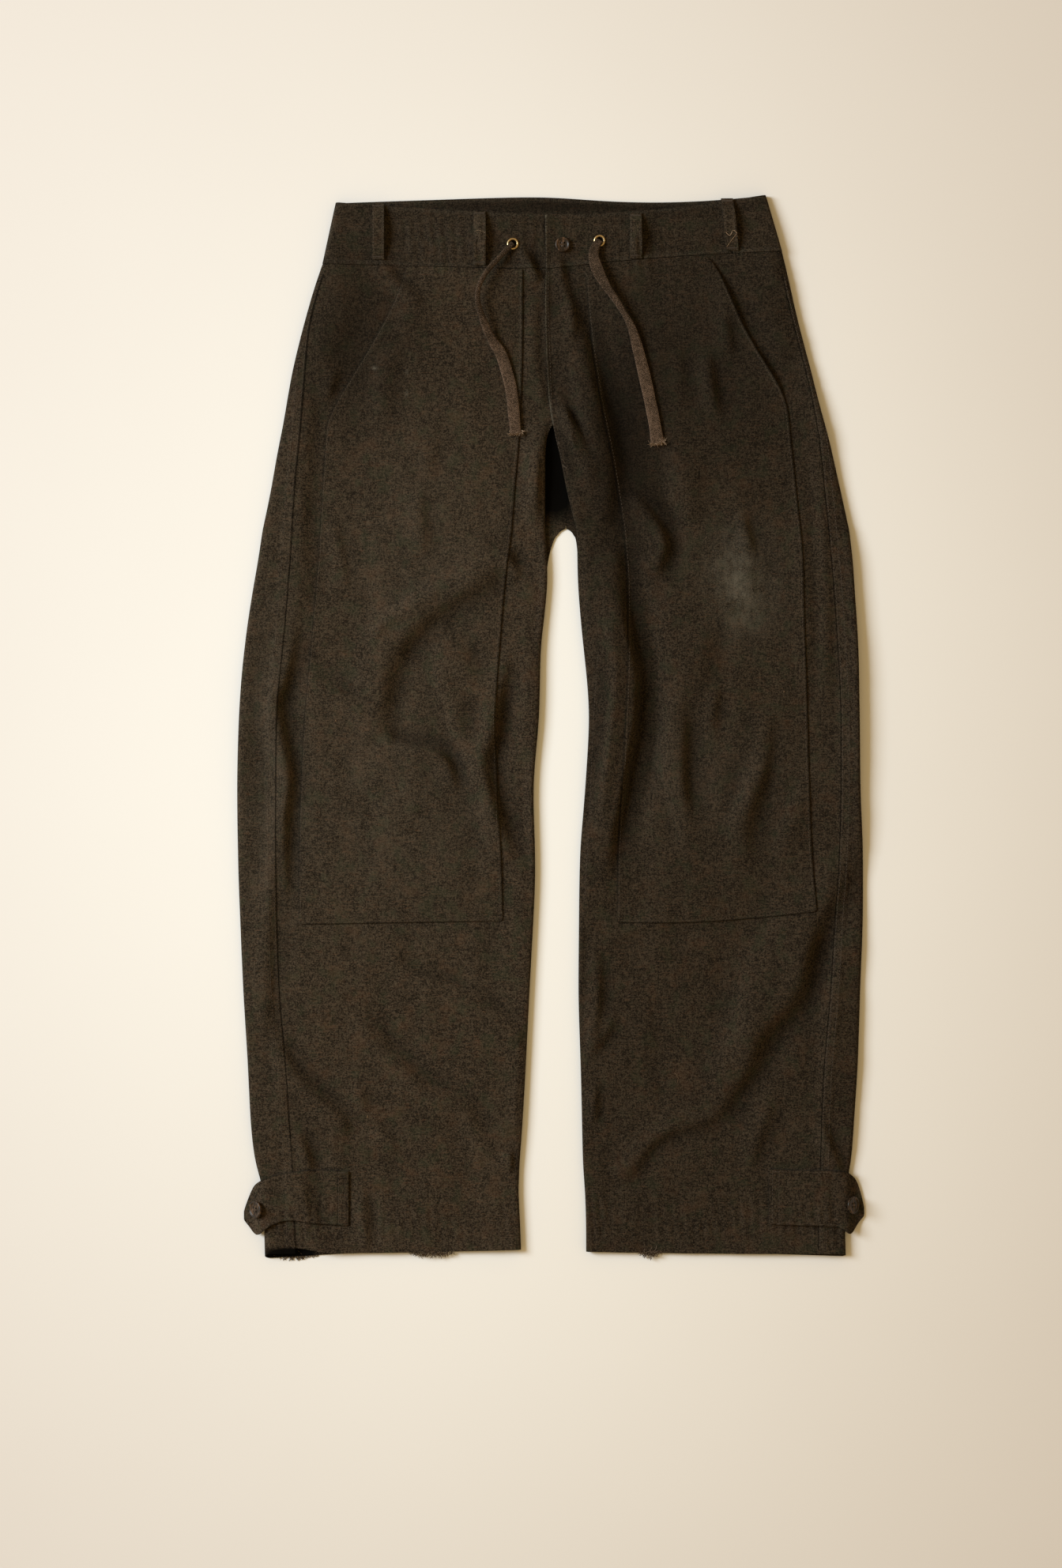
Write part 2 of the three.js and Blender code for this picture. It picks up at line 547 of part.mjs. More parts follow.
function addEyelet(side) {
  const { d, y } = EYELETS[side];
  const seat = bandHeight(side, bandRow(side, 0.5), d) + GAP;
  const { outer, hole, barrel, rise, lip } = EYELET;
  const profile = [[hole, -BAND - GAP], [barrel, -BAND - GAP], [barrel, 0], [outer - 0.2, 0],
    [outer, lip / 2], [outer - 0.6, rise - 0.2], [outer - 1.4, rise], [hole + 0.3, lip], [hole, 0.3]];
  const mesh = addMesh(`eyelet_${SIDE_NAME[side]}`, lathe(profile, EYELET_SIDES), brass);
  mesh.position.set(side * d, y, seat);
}

addEyelet(RIGHT);
addEyelet(LEFT);

const BUTTON = { thick: 2.9, rim: 1.5, dish: 0.8, hole: 0.9, holeAt: 1.75 };
const BUTTON_SIDES = 20;
const BUTTON_HOLE_SIDES = 8;

function buttonGeometry(radius) {
  const { thick, rim, dish, hole, holeAt } = BUTTON;
  const profile = [[0, 0], [radius - 1.6, 0], [radius - 0.3, 0.8], [radius, thick * 0.55],
    [radius - 0.4, thick - 0.2], [radius - rim, thick - 0.1], [radius - rim - 0.7, thick - dish],
    [0, thick - dish]];
  const body = new THREE.LatheGeometry(profile.map(([r, z]) => new THREE.Vector2(r, z)), BUTTON_SIDES);
  body.rotateX(Math.PI / 2);
  const holes = [[1, 1], [1, -1], [-1, 1], [-1, -1]].map(([i, j]) =>
    new THREE.CylinderGeometry(hole, hole, CUTTER, BUTTON_HOLE_SIDES).rotateX(Math.PI / 2)
      .translate(i * holeAt, j * holeAt, 0));
  return cutBy(body, holes);
}

const WAIST_BUTTON = { x: 11.5, y: 991, radius: 7.3 };

function addWaistButton() {
  const { x, y, radius } = WAIST_BUTTON;
  const seat = bandHeight(LEFT, bandRow(LEFT, 0.5), x - radius) + GAP;
  const mesh = addMesh('button_waist', buttonGeometry(radius), horn);
  mesh.position.set(x, y, seat);
}

addWaistButton();

// ---- belt loops -----------------------------------------------------------------------

const LOOP_WIDTH = 12;
const LOOP_ARCH = 1; // the loops stand this much off the band at half height
const LOOP_ROWS = 5;
const BELT_LOOPS = [
  { name: 'side_right', side: RIGHT, top: [168, 1031], foot: [168, 976.5] },
  { name: 'front_right', side: RIGHT, top: [69.5, 1024], foot: [69, 971] },
  { name: 'front_left', side: LEFT, top: [82.5, 1022], foot: [83, 977.5] },
  { name: 'side_left', side: LEFT, top: [171.5, 1036], foot: [177, 985] },
];

function addBeltLoop({ name, side, top, foot }) {
  const grid = Array.from({ length: LOOP_ROWS + 1 }, (_, k) => {
    const share = k / LOOP_ROWS;
    const middle = THREE.MathUtils.lerp(foot[0], top[0], share);
    const y = THREE.MathUtils.lerp(foot[1], top[1], share);
    const arch = LOOP_ARCH * Math.sin(Math.PI * share);
    return [-1, 0, 1].map((half) => {
      const d = middle + (half * LOOP_WIDTH) / 2;
      const edges = [d - LOOP_WIDTH / 4, d, d + LOOP_WIDTH / 4];
      const under = Math.max(...edges.map((place) => bandHeight(side, bandRow(side, share), place)));
      return new THREE.Vector3(side * d, y, under + GAP + arch);
    });
  });
  addMesh(`belt_loop_${name}`, wallBetween(raised(grid, LOOP), grid), canvas);
}

BELT_LOOPS.forEach(addBeltLoop);

// ---- hem tabs -------------------------------------------------------------------------

// Stations along a tab from its stitched end: d, the y of its two long edges and the height
// of its upper face, where it has left the leg and turned down over the side.
const TAB_COLUMNS = ['d', 'high', 'low', 'z'];
const TAB_STATIONS = {
  [RIGHT]: [
    [197, 88.5, 35.5, 0], [214, 90, 36.5, 0], [231, 90, 37.5, 0], [247, 89, 40.5, 0],
    [259, 87, 41, 0], [268, 85, 38, 10.8], [276, 82.5, 34, 11.6], [282, 80, 29, 11],
    [286, 77.5, 26, 8.4], [290, 74, 28, 4.8], [294, 65, 34, 3], [299.5, 50, 40, TAB],
  ],
  [LEFT]: [
    [212.5, 91, 37, 0], [228, 90.5, 36, 0], [244, 90, 35.5, 0], [258, 90, 35.5, 0],
    [270, 90, 35, 0], [278, 89.5, 34.5, 10.8], [284, 89, 33, 11.6], [289, 88, 29, 11],
    [292.5, 85.5, 27, 8.4], [296, 82.5, 31, 4.8], [300, 77, 38, 3], [306, 54, 44, TAB],
  ],
};
const TAB_ACROSS = 4;
const TAB_REST = [-12, -6, 0, 6, 12]; // a stiff tab rides on the highest cloth this near

const rowNear = (side, y) => rowsOf[side].reduce((best, row) =>
  (Math.abs(row.yOuter - y) < Math.abs(best.yOuter - y) ? row : best));

function legHeight(side, d, y) {
  const row = rowNear(side, y);
  return topHeight(side, row, Math.min(d, row.outer - SIDE_FOLD), y);
}

function addHemTab(side) {
  const grid = TAB_STATIONS[side].map((values) => {
    const station = Object.fromEntries(TAB_COLUMNS.map((column, k) => [column, values[k]]));
    return [0, ...spaced(0, 1, TAB_ACROSS)].map((share) => {
      const y = THREE.MathUtils.lerp(station.low, station.high, share);
      const around = TAB_REST.map((step) => legHeight(side, station.d + step, y));
      const z = station.z || Math.max(...around) + GAP + TAB;
      return new THREE.Vector3(side * station.d, y, z);
    });
  });
  addMesh(`hem_tab_${SIDE_NAME[side]}`, wallBetween(grid, inward(grid, TAB, side)), canvas);
}

addHemTab(RIGHT);
addHemTab(LEFT);

const TAB_BUTTONS = {
  [RIGHT]: { d: 286.5, y: 51.5, z: 9.1, lean: 42 },
  [LEFT]: { d: 293.2, y: 56, z: 9.3, lean: 46 },
};
const TAB_BUTTON_RADIUS = 8.5;

function addTabButton(side) {
  const { d, y, z, lean } = TAB_BUTTONS[side];
  const mesh = addMesh(`button_hem_${SIDE_NAME[side]}`, buttonGeometry(TAB_BUTTON_RADIUS), horn);
  mesh.position.set(side * d, y, z);
  mesh.rotation.y = side * THREE.MathUtils.degToRad(lean);
}

addTabButton(RIGHT);
addTabButton(LEFT);

// ---- drawstring -----------------------------------------------------------------------

// The two free ends of the flat tape, from their eyelets down over the fronts.
const TAPE = { width: 11, thick: 2 };
const TAPE_SIDES = 8;
const TAPE_STEPS = 18;
const TAPE_PATHS = {
  [RIGHT]: [[-37, 992, 10.7], [-49, 979, 13.6], [-62, 964, 16.6], [-70, 949, 18], [-71, 935, 18],
    [-67, 920, 16.6], [-58, 899, 13.2], [-49, 885, 11.2], [-42, 864, 9.8], [-38, 846, 9.4],
    [-36, 826, 9.4], [-34, 807, 9.8]],
  [LEFT]: [[47.5, 995, 10.8], [42, 984, 12.8], [44, 969, 15], [53, 951, 16], [66, 932, 15.2],
    [78, 911, 13.4], [85, 888, 11.6], [91, 864, 10.2], [97, 837, 9.4], [101, 817, 9.4], [104, 798, 9.4]],
};

function addTape(side) {
  const path = new THREE.CatmullRomCurve3(TAPE_PATHS[side].map((point) => new THREE.Vector3(...point)));
  const outline = Array.from({ length: TAPE_SIDES }, (_, k) => {
    const turn = ((k + 0.5) * 2 * Math.PI) / TAPE_SIDES;
    return new THREE.Vector2((TAPE.thick / 2) * Math.cos(turn), (TAPE.width / 2) * Math.sin(turn));
  });
  const geometry = new THREE.ExtrudeGeometry(new THREE.Shape(outline), {
    steps: TAPE_STEPS, extrudePath: path, bevelEnabled: false,
  });
  addMesh(`drawstring_${SIDE_NAME[side]}`, geometry, tape);
}

addTape(RIGHT);
addTape(LEFT);

// The origin is on the surface, in the middle of the pants without their drawstring.
function centre() {
  const box = new THREE.Box3();
  const cloth = pants.children.filter((mesh) => !mesh.name.startsWith('drawstring'));
  pants.updateMatrixWorld(true);
  cloth.forEach((mesh) => box.expandByObject(mesh, true));
  const middle = box.getCenter(new THREE.Vector3());
  pants.position.set(-middle.x, -middle.y, -box.min.z);
}

centre();

export default pants;
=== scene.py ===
"""Canvas work pants, laid flat with the front up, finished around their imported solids."""
import functools
import json
import math
import random
from collections import namedtuple

import bmesh
import bpy
import numpy as np
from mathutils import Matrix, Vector
from mathutils.bvhtree import BVHTree

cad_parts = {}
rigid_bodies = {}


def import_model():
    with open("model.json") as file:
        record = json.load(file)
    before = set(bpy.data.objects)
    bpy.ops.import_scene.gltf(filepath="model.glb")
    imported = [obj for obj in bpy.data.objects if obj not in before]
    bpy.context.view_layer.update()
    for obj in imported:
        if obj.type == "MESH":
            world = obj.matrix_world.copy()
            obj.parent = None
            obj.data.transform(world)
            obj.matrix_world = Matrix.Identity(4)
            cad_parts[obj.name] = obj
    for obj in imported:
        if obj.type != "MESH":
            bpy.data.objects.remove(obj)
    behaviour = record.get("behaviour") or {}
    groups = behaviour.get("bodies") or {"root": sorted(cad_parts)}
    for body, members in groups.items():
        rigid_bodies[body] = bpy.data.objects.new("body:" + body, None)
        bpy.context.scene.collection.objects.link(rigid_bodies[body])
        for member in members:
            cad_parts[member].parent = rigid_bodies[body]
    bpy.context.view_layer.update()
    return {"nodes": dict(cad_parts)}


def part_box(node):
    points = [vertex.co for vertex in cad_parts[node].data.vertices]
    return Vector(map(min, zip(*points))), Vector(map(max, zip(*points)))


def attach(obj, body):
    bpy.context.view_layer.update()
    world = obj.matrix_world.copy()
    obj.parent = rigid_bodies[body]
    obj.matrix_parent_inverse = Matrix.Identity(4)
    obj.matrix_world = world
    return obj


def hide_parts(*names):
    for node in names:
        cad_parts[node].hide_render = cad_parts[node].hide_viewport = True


bl_info = {
    "name": "Canvas work pants",
    "version": (1, 0, 0),
    "blender": (4, 5, 0),
    "location": "View3D > Sidebar > Work Pants",
    "description": "Dresses the solids of a pair of canvas work pants as sewn and creased cloth",
    "category": "Object",
}

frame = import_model()

# Places on the garment are drawn in millimetres: x from the middle line towards the wearer's
# left, y above the hem. The left eyelet ties that drawing to the frame.
MM = 0.001
EYELET_PLACE = {"right": (-37.0, 992.0), "left": (47.5, 995.0)}
SIDES = ("right", "left")
SIGN = {"right": -1.0, "left": 1.0}

CANVAS = 1.3
GAP = 0.35
TAPE_THICK = 2.0


def middle_of(node):
    low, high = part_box(node)
    return (low + high) / 2


ORIGIN = Vector((middle_of("eyelet_left").x - EYELET_PLACE["left"][0] * MM,
                 middle_of("eyelet_left").y - EYELET_PLACE["left"][1] * MM, 0.0))


def at(x, y, z=0.0):
    """The place in the frame of a drawn one, in metres."""
    return Vector((x * MM, y * MM, z * MM)) + ORIGIN


def drawn(places):
    """Drawn millimetres of an array of places in the frame."""
    return (np.asarray(places, float) - np.array(ORIGIN)) / MM


# ---- settings ---------------------------------------------------------------------------


def length_property(name, description, default):
    return bpy.props.FloatProperty(name=name, description=description, default=default,
                                   min=0.0, unit="LENGTH", precision=5)


def colour_property(name, description, default):
    return bpy.props.FloatVectorProperty(name=name, description=description, default=default,
                                         size=3, min=0.0, max=1.0, subtype="COLOR")


class PantsSizes(bpy.types.PropertyGroup):
    """Sizes of the sewing and the trimmings."""

    crease_scale: bpy.props.FloatProperty(
        name="Crease scale", description="How deep the creases are, as a share of their drawn depth",
        default=1.0, min=0.0, max=2.0, subtype="FACTOR")
    stitch_length: length_property("Stitch", "Length of one stitch", 0.0025)
    stitch_pitch: length_property("Stitch spacing", "From one stitch to the next", 0.0033)
    thread_radius: length_property("Thread radius", "Half the thickness of the sewing thread", 0.00024)
    felled_width: length_property("Felled seam", "Width of the double cloth beside a side seam", 0.0085)
    weave_pitch: length_property("Yarn spacing", "From one yarn of the canvas to the next", 0.0009)
    fibre_radius: length_property("Fibre radius", "Half the thickness of a loose fibre", 0.00016)


class PantsColours(bpy.types.PropertyGroup):
    """Colours of the cloth and the trimmings."""

    canvas_deep: colour_property("Canvas, deep", "The darker yarns", (0.0090, 0.0066, 0.0045))
    canvas_light: colour_property("Canvas, light", "The lighter yarns", (0.0545, 0.0415, 0.0285))
    canvas_rust: colour_property("Canvas, rust", "The reddish slubs", (0.066, 0.031, 0.0155))
    canvas_green: colour_property("Canvas, green", "The greenish places", (0.024, 0.029, 0.0165))
    # The worn colour, also used for the painted highlight on folded lips.
    canvas_worn_and_highlight: colour_property("Canvas, worn", "Where the cloth is rubbed pale", (0.104, 0.098, 0.080))
    thread: colour_property("Thread", "The sewing thread", (0.026, 0.018, 0.012))
    tape_light: colour_property("Drawstring", "The raised yarns of the drawstring", (0.112, 0.076, 0.055))
    tape_deep: colour_property("Drawstring, deep", "Between the yarns of the drawstring",
                               (0.020, 0.014, 0.009))
    brass: colour_property("Brass", "The eyelets", (0.50, 0.38, 0.21))
    horn: colour_property("Horn", "The buttons", (0.0125, 0.0080, 0.0052))
    # The floor is palest in a painted pool of light round the pants, and darker away from it, as painted
    # fall-off of the light.
    floor: colour_property("Floor", "The plain floor, where it is palest", (0.79, 0.82, 0.86))
    floor_painted_falloff: colour_property("Floor, far", "The floor away from the pants", (0.56, 0.535, 0.53))


class PantsStudio(bpy.types.PropertyGroup):
    """The camera and the light."""

    camera_height: length_property("Camera height", "Above the floor", 3.2)
    key_power: bpy.props.FloatProperty(name="Main light", description="From the upper left",
                                       default=375.0, min=0.0, unit="POWER")
    sky: bpy.props.FloatProperty(name="Sky", description="Strength of the even light all round",
                                 default=0.60, min=0.0, soft_max=2.0)


# ---- lines on the garment ----------------------------------------------------------------


def smooth_line(points, step=3.0):
    """Places about a step apart on a smooth line through the given ones."""
    p = np.asarray(points, float)
    ends = np.vstack([2 * p[0] - p[1], p, 2 * p[-1] - p[-2]])
    line = []
    for a, b, c, d in zip(ends, ends[1:], ends[2:], ends[3:]):
        count = max(1, int(np.linalg.norm(c[:2] - b[:2]) / step))
        for t in np.arange(count) / count:
            line.append(0.5 * (2 * b + (c - a) * t + (2 * a - 5 * b + 4 * c - d) * t ** 2
                               + (3 * b - a - 3 * c + d) * t ** 3))
    return np.array(line + [p[-1]])


def run_of(line):
    """The distance along a line at each of its places."""
    return np.concatenate([[0.0], np.cumsum(np.linalg.norm(np.diff(line[:, :2], axis=0), axis=1))])


def offset_line(line, distance):
    """The line moved sideways, to the left of its direction when distance is positive."""
    way = np.gradient(line[:, :2], axis=0)
    way /= np.linalg.norm(way, axis=1)[:, None] + 1e-9
    return line[:, :2] + distance * np.stack([-way[:, 1], way[:, 0]], axis=1)


def beside(line, x, y):
    """For each place: its distance to a line, how far to the left of it, and how far along, 0 to 1."""
    nearest = np.full(x.shape, np.inf)
    across = np.zeros(x.shape)
    along = np.zeros(x.shape)
    run = run_of(line)
    for k in range(len(line) - 1):
        ax, ay = line[k, :2]
        dx, dy = line[k + 1, :2] - line[k, :2]
        square = dx * dx + dy * dy + 1e-9
        share = np.clip(((x - ax) * dx + (y - ay) * dy) / square, 0, 1)
        distance = np.hypot(x - ax - share * dx, y - ay - share * dy)
        closer = distance < nearest
        nearest = np.where(closer, distance, nearest)
        across = np.where(closer, (dx * (y - ay) - dy * (x - ax)) / math.sqrt(square), across)
        along = np.where(closer, (run[k] + share * (run[k + 1] - run[k])) / run[-1], along)
    return nearest, across, along


def ease(value, low, high):
    t = np.clip((value - low) / (high - low), 0, 1)
    return t * t * (3 - 2 * t)


# ---- creases -----------------------------------------------------------------------------

# Across each crease the cloth steps down by twice the drop, towards the left of its path, or
# up where the drop is negative. Width is how soft the step is, reach how far it is felt, and
# groove how far the line itself is sunk.
Crease = namedtuple("Crease", "name width drop reach groove path")

CREASES = (
    Crease("right_side_wave", 4.8, 5.6, 17, 0, ((-246, 621), (-249, 598), (-256, 567), (-263, 547),
        (-262, 533), (-256, 498), (-252, 467), (-256, 429), (-256, 390), (-255, 356))),
    Crease("right_side_hip", 9, 2.9, 17.9, 0, ((-230, 860), (-234, 798), (-237, 737), (-239, 675),
        (-243, 621))),
    Crease("right_side_low", 5.5, 2.8, 15, 0, ((-266, 413), (-270, 352), (-273, 306), (-272, 229),
        (-262, 215))),
    Crease("right_calf_side", 5, 4, 16, 0, ((-262, 217), (-255, 198), (-246, 184), (-229, 167),
        (-209, 148), (-198, 135), (-201, 121))),
    Crease("right_above_tab", 4.5, 4, 13, 0, ((-244, 127), (-238, 113), (-230, 89))),
    Crease("right_at_tab", 8.4, 3.1, 15.7, 0, ((-240, 90), (-235, 59), (-223, 28), (-217, 15))),
    Crease("right_thigh_nick", 3.6, 1.5, 10.1, 0, ((-209, 720), (-204, 698), (-200, 679), (-197, 656))),
    Crease("right_knee_fold", 8.4, 5.4, 28, 0, ((-44, 681), (-65, 660), (-86, 647), (-104, 637),
        (-122, 623), (-140, 604), (-150, 577), (-156, 552), (-159, 527), (-156, 512))),
    Crease("right_knee_hook", 4.0, 5.6, 14, 1, ((-158, 517), (-152, 509), (-142, 506), (-129, 503),
        (-109, 498), (-98, 489), (-92, 474), (-90, 462))),
    Crease("right_knee_inner", 6, 6.4, 20, 0.4, ((-38, 587), (-43, 571), (-47, 552), (-53, 514),
        (-61, 489), (-58, 467), (-49, 437), (-38, 407), (-32, 395))),
    Crease("right_knee_rise", 9.6, -3.1, 17.9, 0, ((-115, 575), (-104, 544), (-96, 517), (-86, 490),
        (-76, 460))),
    Crease("right_knee_crest", 5, -2.6, 10, 0, ((-174, 600), (-165, 614), (-150, 626), (-130, 638),
        (-108, 651))),
    Crease("right_knee_cross", 5.5, 3.2, 15, 0, ((-234, 575), (-218, 563), (-204, 555), (-190, 546),
        (-178, 536))),
    Crease("right_knee_shade", 9, 3, 18, 0, ((-96, 610), (-82, 588), (-70, 566), (-62, 545))),
    Crease("right_thigh_inner", 4.5, 4.4, 12, 0, ((-38, 695), (-36, 681), (-27, 671))),
    Crease("right_thigh_mid", 6, 2.4, 14, 0, ((-126, 748), (-123, 721), (-120, 691))),
    Crease("right_thigh_upper", 6, 1.4, 13.4, 0, ((-109, 802), (-114, 783), (-118, 764))),
    Crease("right_patch_under", 9.6, 2.1, 15.7, 0, ((-181, 327), (-159, 316), (-140, 298))),
    Crease("right_shin_upper", 7, 3.4, 16, 0, ((-148, 283), (-121, 275), (-98, 267), (-52, 242),
        (-27, 219))),
    Crease("right_shin_long", 6.5, 4.4, 19, 0, ((-186, 240), (-167, 221), (-152, 202), (-121, 173),
        (-82, 152), (-65, 121), (-55, 109))),
    Crease("right_calf_mid", 6, 2.8, 13.4, 0, ((-169, 132), (-158, 122), (-146, 112))),
    Crease("right_calf_nick", 4.8, 2, 11.2, 0, ((-184, 171), (-181, 159), (-178, 148))),
    Crease("right_hem_fold", 3.4, 3, 11, 0, ((-181, 69), (-179, 48), (-176, 12))),
    Crease("right_ankle_dent", 4.5, 4, 10, 0, ((-39, 109), (-36, 99), (-35, 90))),
    Crease("right_pocket_panel", 19.2, 4.2, 33.6, 0, ((-184, 964), (-196, 929), (-208, 891), (-218, 845))),
    Crease("right_mouth_end", 4.8, 3.1, 10.1, 0, ((-206, 869), (-212, 852), (-216, 837))),
    Crease("right_loop_drag", 4, 3.2, 11, 0.8, ((-161, 976), (-149, 959), (-136, 948), (-123, 940))),
    Crease("right_hip_rise", 9.6, -2.2, 17.9, 0, ((-153, 949), (-148, 929), (-152, 902))),
    Crease("right_hip_soft", 9.6, 2.2, 15.7, 0, ((-144, 891), (-156, 860), (-158, 814))),
    Crease("right_fly_drag", 3.4, 6, 9, 0, ((-27, 992), (-20, 978), (-14, 968), (-8, 957))),
    Crease("right_fly_side", 4.8, 2, 10.1, 0, ((-5, 868), (-5, 845), (-7, 828))),
    Crease("right_inner_rise", 10.8, -2.8, 15.7, 0, ((-25, 798), (-22, 752), (-25, 714))),
    Crease("right_outer_soft", 10.8, 2, 20.2, 0, ((-289, 598), (-293, 537), (-295, 475), (-293, 413))),
    Crease("left_fly_valley", 7, 7, 34, 0, ((24, 938), (33, 908), (40, 884), (49, 848), (57, 814),
        (63, 775), (61, 737), (53, 715))),
    Crease("left_fly_hump", 8.4, -4.2, 15.7, 0, ((19, 887), (23, 845), (25, 798), (28, 752))),
    Crease("left_fly_nick", 3.0, 8.6, 10, 1.4, ((15, 834), (22, 818), (28, 804), (33, 792), (37, 780))),
    Crease("left_fly_edge", 4, 3.6, 10, 0, ((13, 966), (17, 948), (23, 930), (25, 910), (20, 894))),
    Crease("right_fly_lap", 4.5, 2.4, 12, 0, ((-12, 944), (-12, 905), (-11, 872), (-8, 848))),
    Crease("left_fly_top", 3.4, 3, 8, 0, ((9, 986), (12, 972), (14, 957))),
    Crease("left_thigh_v", 4.8, 6.8, 18, 0.6, ((84, 751), (99, 731), (110, 715), (115, 698), (109, 678),
        (104, 666))),
    Crease("left_inner_long", 6.6, 9, 30, 0.5, ((68, 698), (72, 660), (77, 614), (85, 575), (85, 552),
        (82, 514), (75, 475), (70, 444), (64, 413), (58, 377))),
    Crease("left_inner_rise", 9, -4.4, 22, 0, ((55, 637), (61, 575), (56, 514), (46, 452), (40, 417))),
    Crease("left_knee_second", 4.5, 4.2, 14, 0, ((133, 533), (132, 498), (132, 467), (136, 437))),
    Crease("left_knee_rise", 8.4, -3.6, 15.7, 0, ((119, 560), (109, 514), (109, 475), (119, 437),
        (127, 402))),
    Crease("left_knee_nick", 4.8, 2.7, 11.2, 0, ((166, 561), (162, 541), (159, 518))),
    Crease("left_knee_outer", 6.5, 3.8, 18, 0, ((216, 537), (213, 490), (207, 467), (196, 437),
        (193, 413), (196, 390))),
    Crease("left_knee_low", 8.4, -2.8, 15.7, 0, ((201, 489), (187, 460), (176, 433), (171, 404))),
    Crease("left_knee_side", 8.4, -2.8, 15.7, 0, ((246, 471), (234, 444), (224, 417), (219, 397))),
    Crease("left_shin_long", 8, 7, 28, 0, ((298, 389), (286, 367), (272, 344), (263, 321), (256, 302),
        (247, 267), (233, 244), (210, 219), (199, 194), (183, 167), (165, 139))),
    Crease("left_shin_foot", 6, 3.8, 17, 0, ((169, 144), (152, 135), (133, 130), (118, 126), (99, 113),
        (84, 92), (64, 78))),
    Crease("left_shin_rise", 14.4, -3.6, 26.9, 0, ((224, 356), (210, 333), (191, 283), (176, 236),
        (160, 198), (151, 176))),
    Crease("left_side_rise", 10.8, -3.1, 20.2, 0, ((284, 329), (272, 283), (265, 229), (261, 158))),
    Crease("left_calf_low", 6, 2.7, 13.4, 0, ((216, 156), (212, 136), (204, 113), (196, 89))),
    Crease("left_above_tab", 3.8, 3.4, 11, 0, ((266, 136), (273, 117), (281, 98), (286, 85))),
    Crease("left_calf_edge", 4.5, 3.4, 11, 0, ((46, 306), (49, 275), (47, 236), (42, 203))),
    Crease("left_ankle_edge", 4, 2.8, 9, 0, ((46, 173), (45, 136))),
    Crease("left_calf_hook", 4.8, 3, 10.1, 0, ((64, 240), (56, 223), (44, 204))),
    Crease("left_patch_under", 4.8, 1.7, 11.2, 0.5, ((196, 332), (133, 330), (102, 327), (79, 318),
        (55, 306))),
    Crease("left_mouth_drag", 4.2, 2.8, 10.1, 0, ((171, 923), (175, 906), (178, 886))),
    Crease("left_mouth_deep", 4.5, 4.2, 13, 0, ((156, 885), (159, 860), (162, 841), (165, 826))),
    Crease("left_hip_soft", 6, 1.4, 11.2, 0, ((127, 891), (130, 860), (132, 835))),
    Crease("left_hip_rise", 12, -3.1, 20.2, 0, ((195, 946), (206, 914), (224, 879))),
    Crease("left_hip_edge", 5, 2.6, 13, 0, ((213, 983), (221, 968), (226, 954))),
    Crease("left_patch_nick", 4.2, 3.8, 12, 0, ((189, 729), (194, 710), (199, 691))),
    Crease("left_seam_in", 6, 2, 10.1, 0, ((246, 783), (249, 706), (253, 629), (253, 552))),
    Crease("left_seam_out", 6, 2, 10.1, 0, ((263, 798), (269, 721), (272, 644), (272, 537))),
    Crease("left_thigh_rise", 12, -3.4, 22.4, 0, ((114, 797), (118, 760), (128, 720))),
    Crease("left_thigh_low", 10.8, 2, 20.2, 0, ((160, 621), (151, 583), (149, 552))),
)

# Soft rolls, where an edge or a stretch of cloth stands up from what lies below.
Rise = namedtuple("Rise", "name height reach path")

RISES = (
    Rise("left_outer", 6.0, 14, ((292, 720), (301, 620), (305, 540), (303, 460), (298, 400))),
    Rise("left_hip_edge", 2.4, 12, ((246, 930), (262, 860), (276, 790))),
    Rise("right_crotch_edge", 5.0, 11, ((-10, 818), (-12, 790), (-15, 760), (-20, 728))),
    Rise("left_crotch_edge", 3.4, 9, ((12, 806), (17, 770), (22, 742), (26, 718))),
    Rise("fly_pouch", 4.2, 10, ((6, 842), (15, 822), (22, 800), (20, 786))),
    Rise("fly_roll", 3.0, 9, ((32, 866), (38, 826), (40, 780), (33, 742))),
    Rise("right_inner_edge", 2.0, 10, ((-24, 640), (-22, 560), (-26, 500))),
)

# Where the edge of a pocket mouth gapes.
GAPES = (
    Rise("left_mouth_high", 2.8, 9, ((157, 964), (171, 940), (184, 912))),
    Rise("left_mouth_low", 3.2, 9, ((203, 884), (216, 865), (229, 848))),
    Rise("right_mouth_low", 1.2, 8, ((-196, 884), (-208, 860), (-216, 838))),
)

# The same kind of creases on the underside, where the cloth is pressed against the floor.
Trough = namedtuple("Trough", "name width depth path")

UNDER_TROUGHS = (
    Trough("seat_right", 9, 1.6, ((-30, 742), (-80, 768), (-150, 776))),
    Trough("seat_left", 9, 1.5, ((30, 736), (92, 762), (158, 760))),
    Trough("seat_middle", 7, 1.1, ((-64, 842), (-12, 812), (44, 830))),
    Trough("back_knee_right_a", 8, 1.6, ((-236, 560), (-180, 536), (-110, 548), (-52, 528))),
    Trough("back_knee_right_b", 8, 1.3, ((-242, 474), (-170, 486), (-96, 462))),
    Trough("back_knee_left_a", 8, 1.6, ((62, 574), (128, 552), (206, 570), (262, 548))),
    Trough("back_knee_left_b", 8, 1.3, ((86, 486), (150, 470), (236, 492))),
    Trough("back_calf_right", 8, 1.2, ((-222, 236), (-160, 216), (-92, 238))),
    Trough("back_calf_left", 8, 1.2, ((96, 214), (168, 232), (244, 210))),
    Trough("back_ankle_right", 6, 1.0, ((-200, 122), (-150, 108))),
    Trough("back_ankle_left", 6, 1.0, ((120, 116), (176, 126))),
    Trough("back_hip_right", 7, 1.0, ((-196, 940), (-168, 880), (-176, 830))),
    Trough("back_hip_left", 7, 1.0, ((186, 936), (160, 890), (172, 836))),
)

# Puckers that a row of stitches draws into the cloth.
Pucker = namedtuple("Pucker", "name pitch depth reach path")

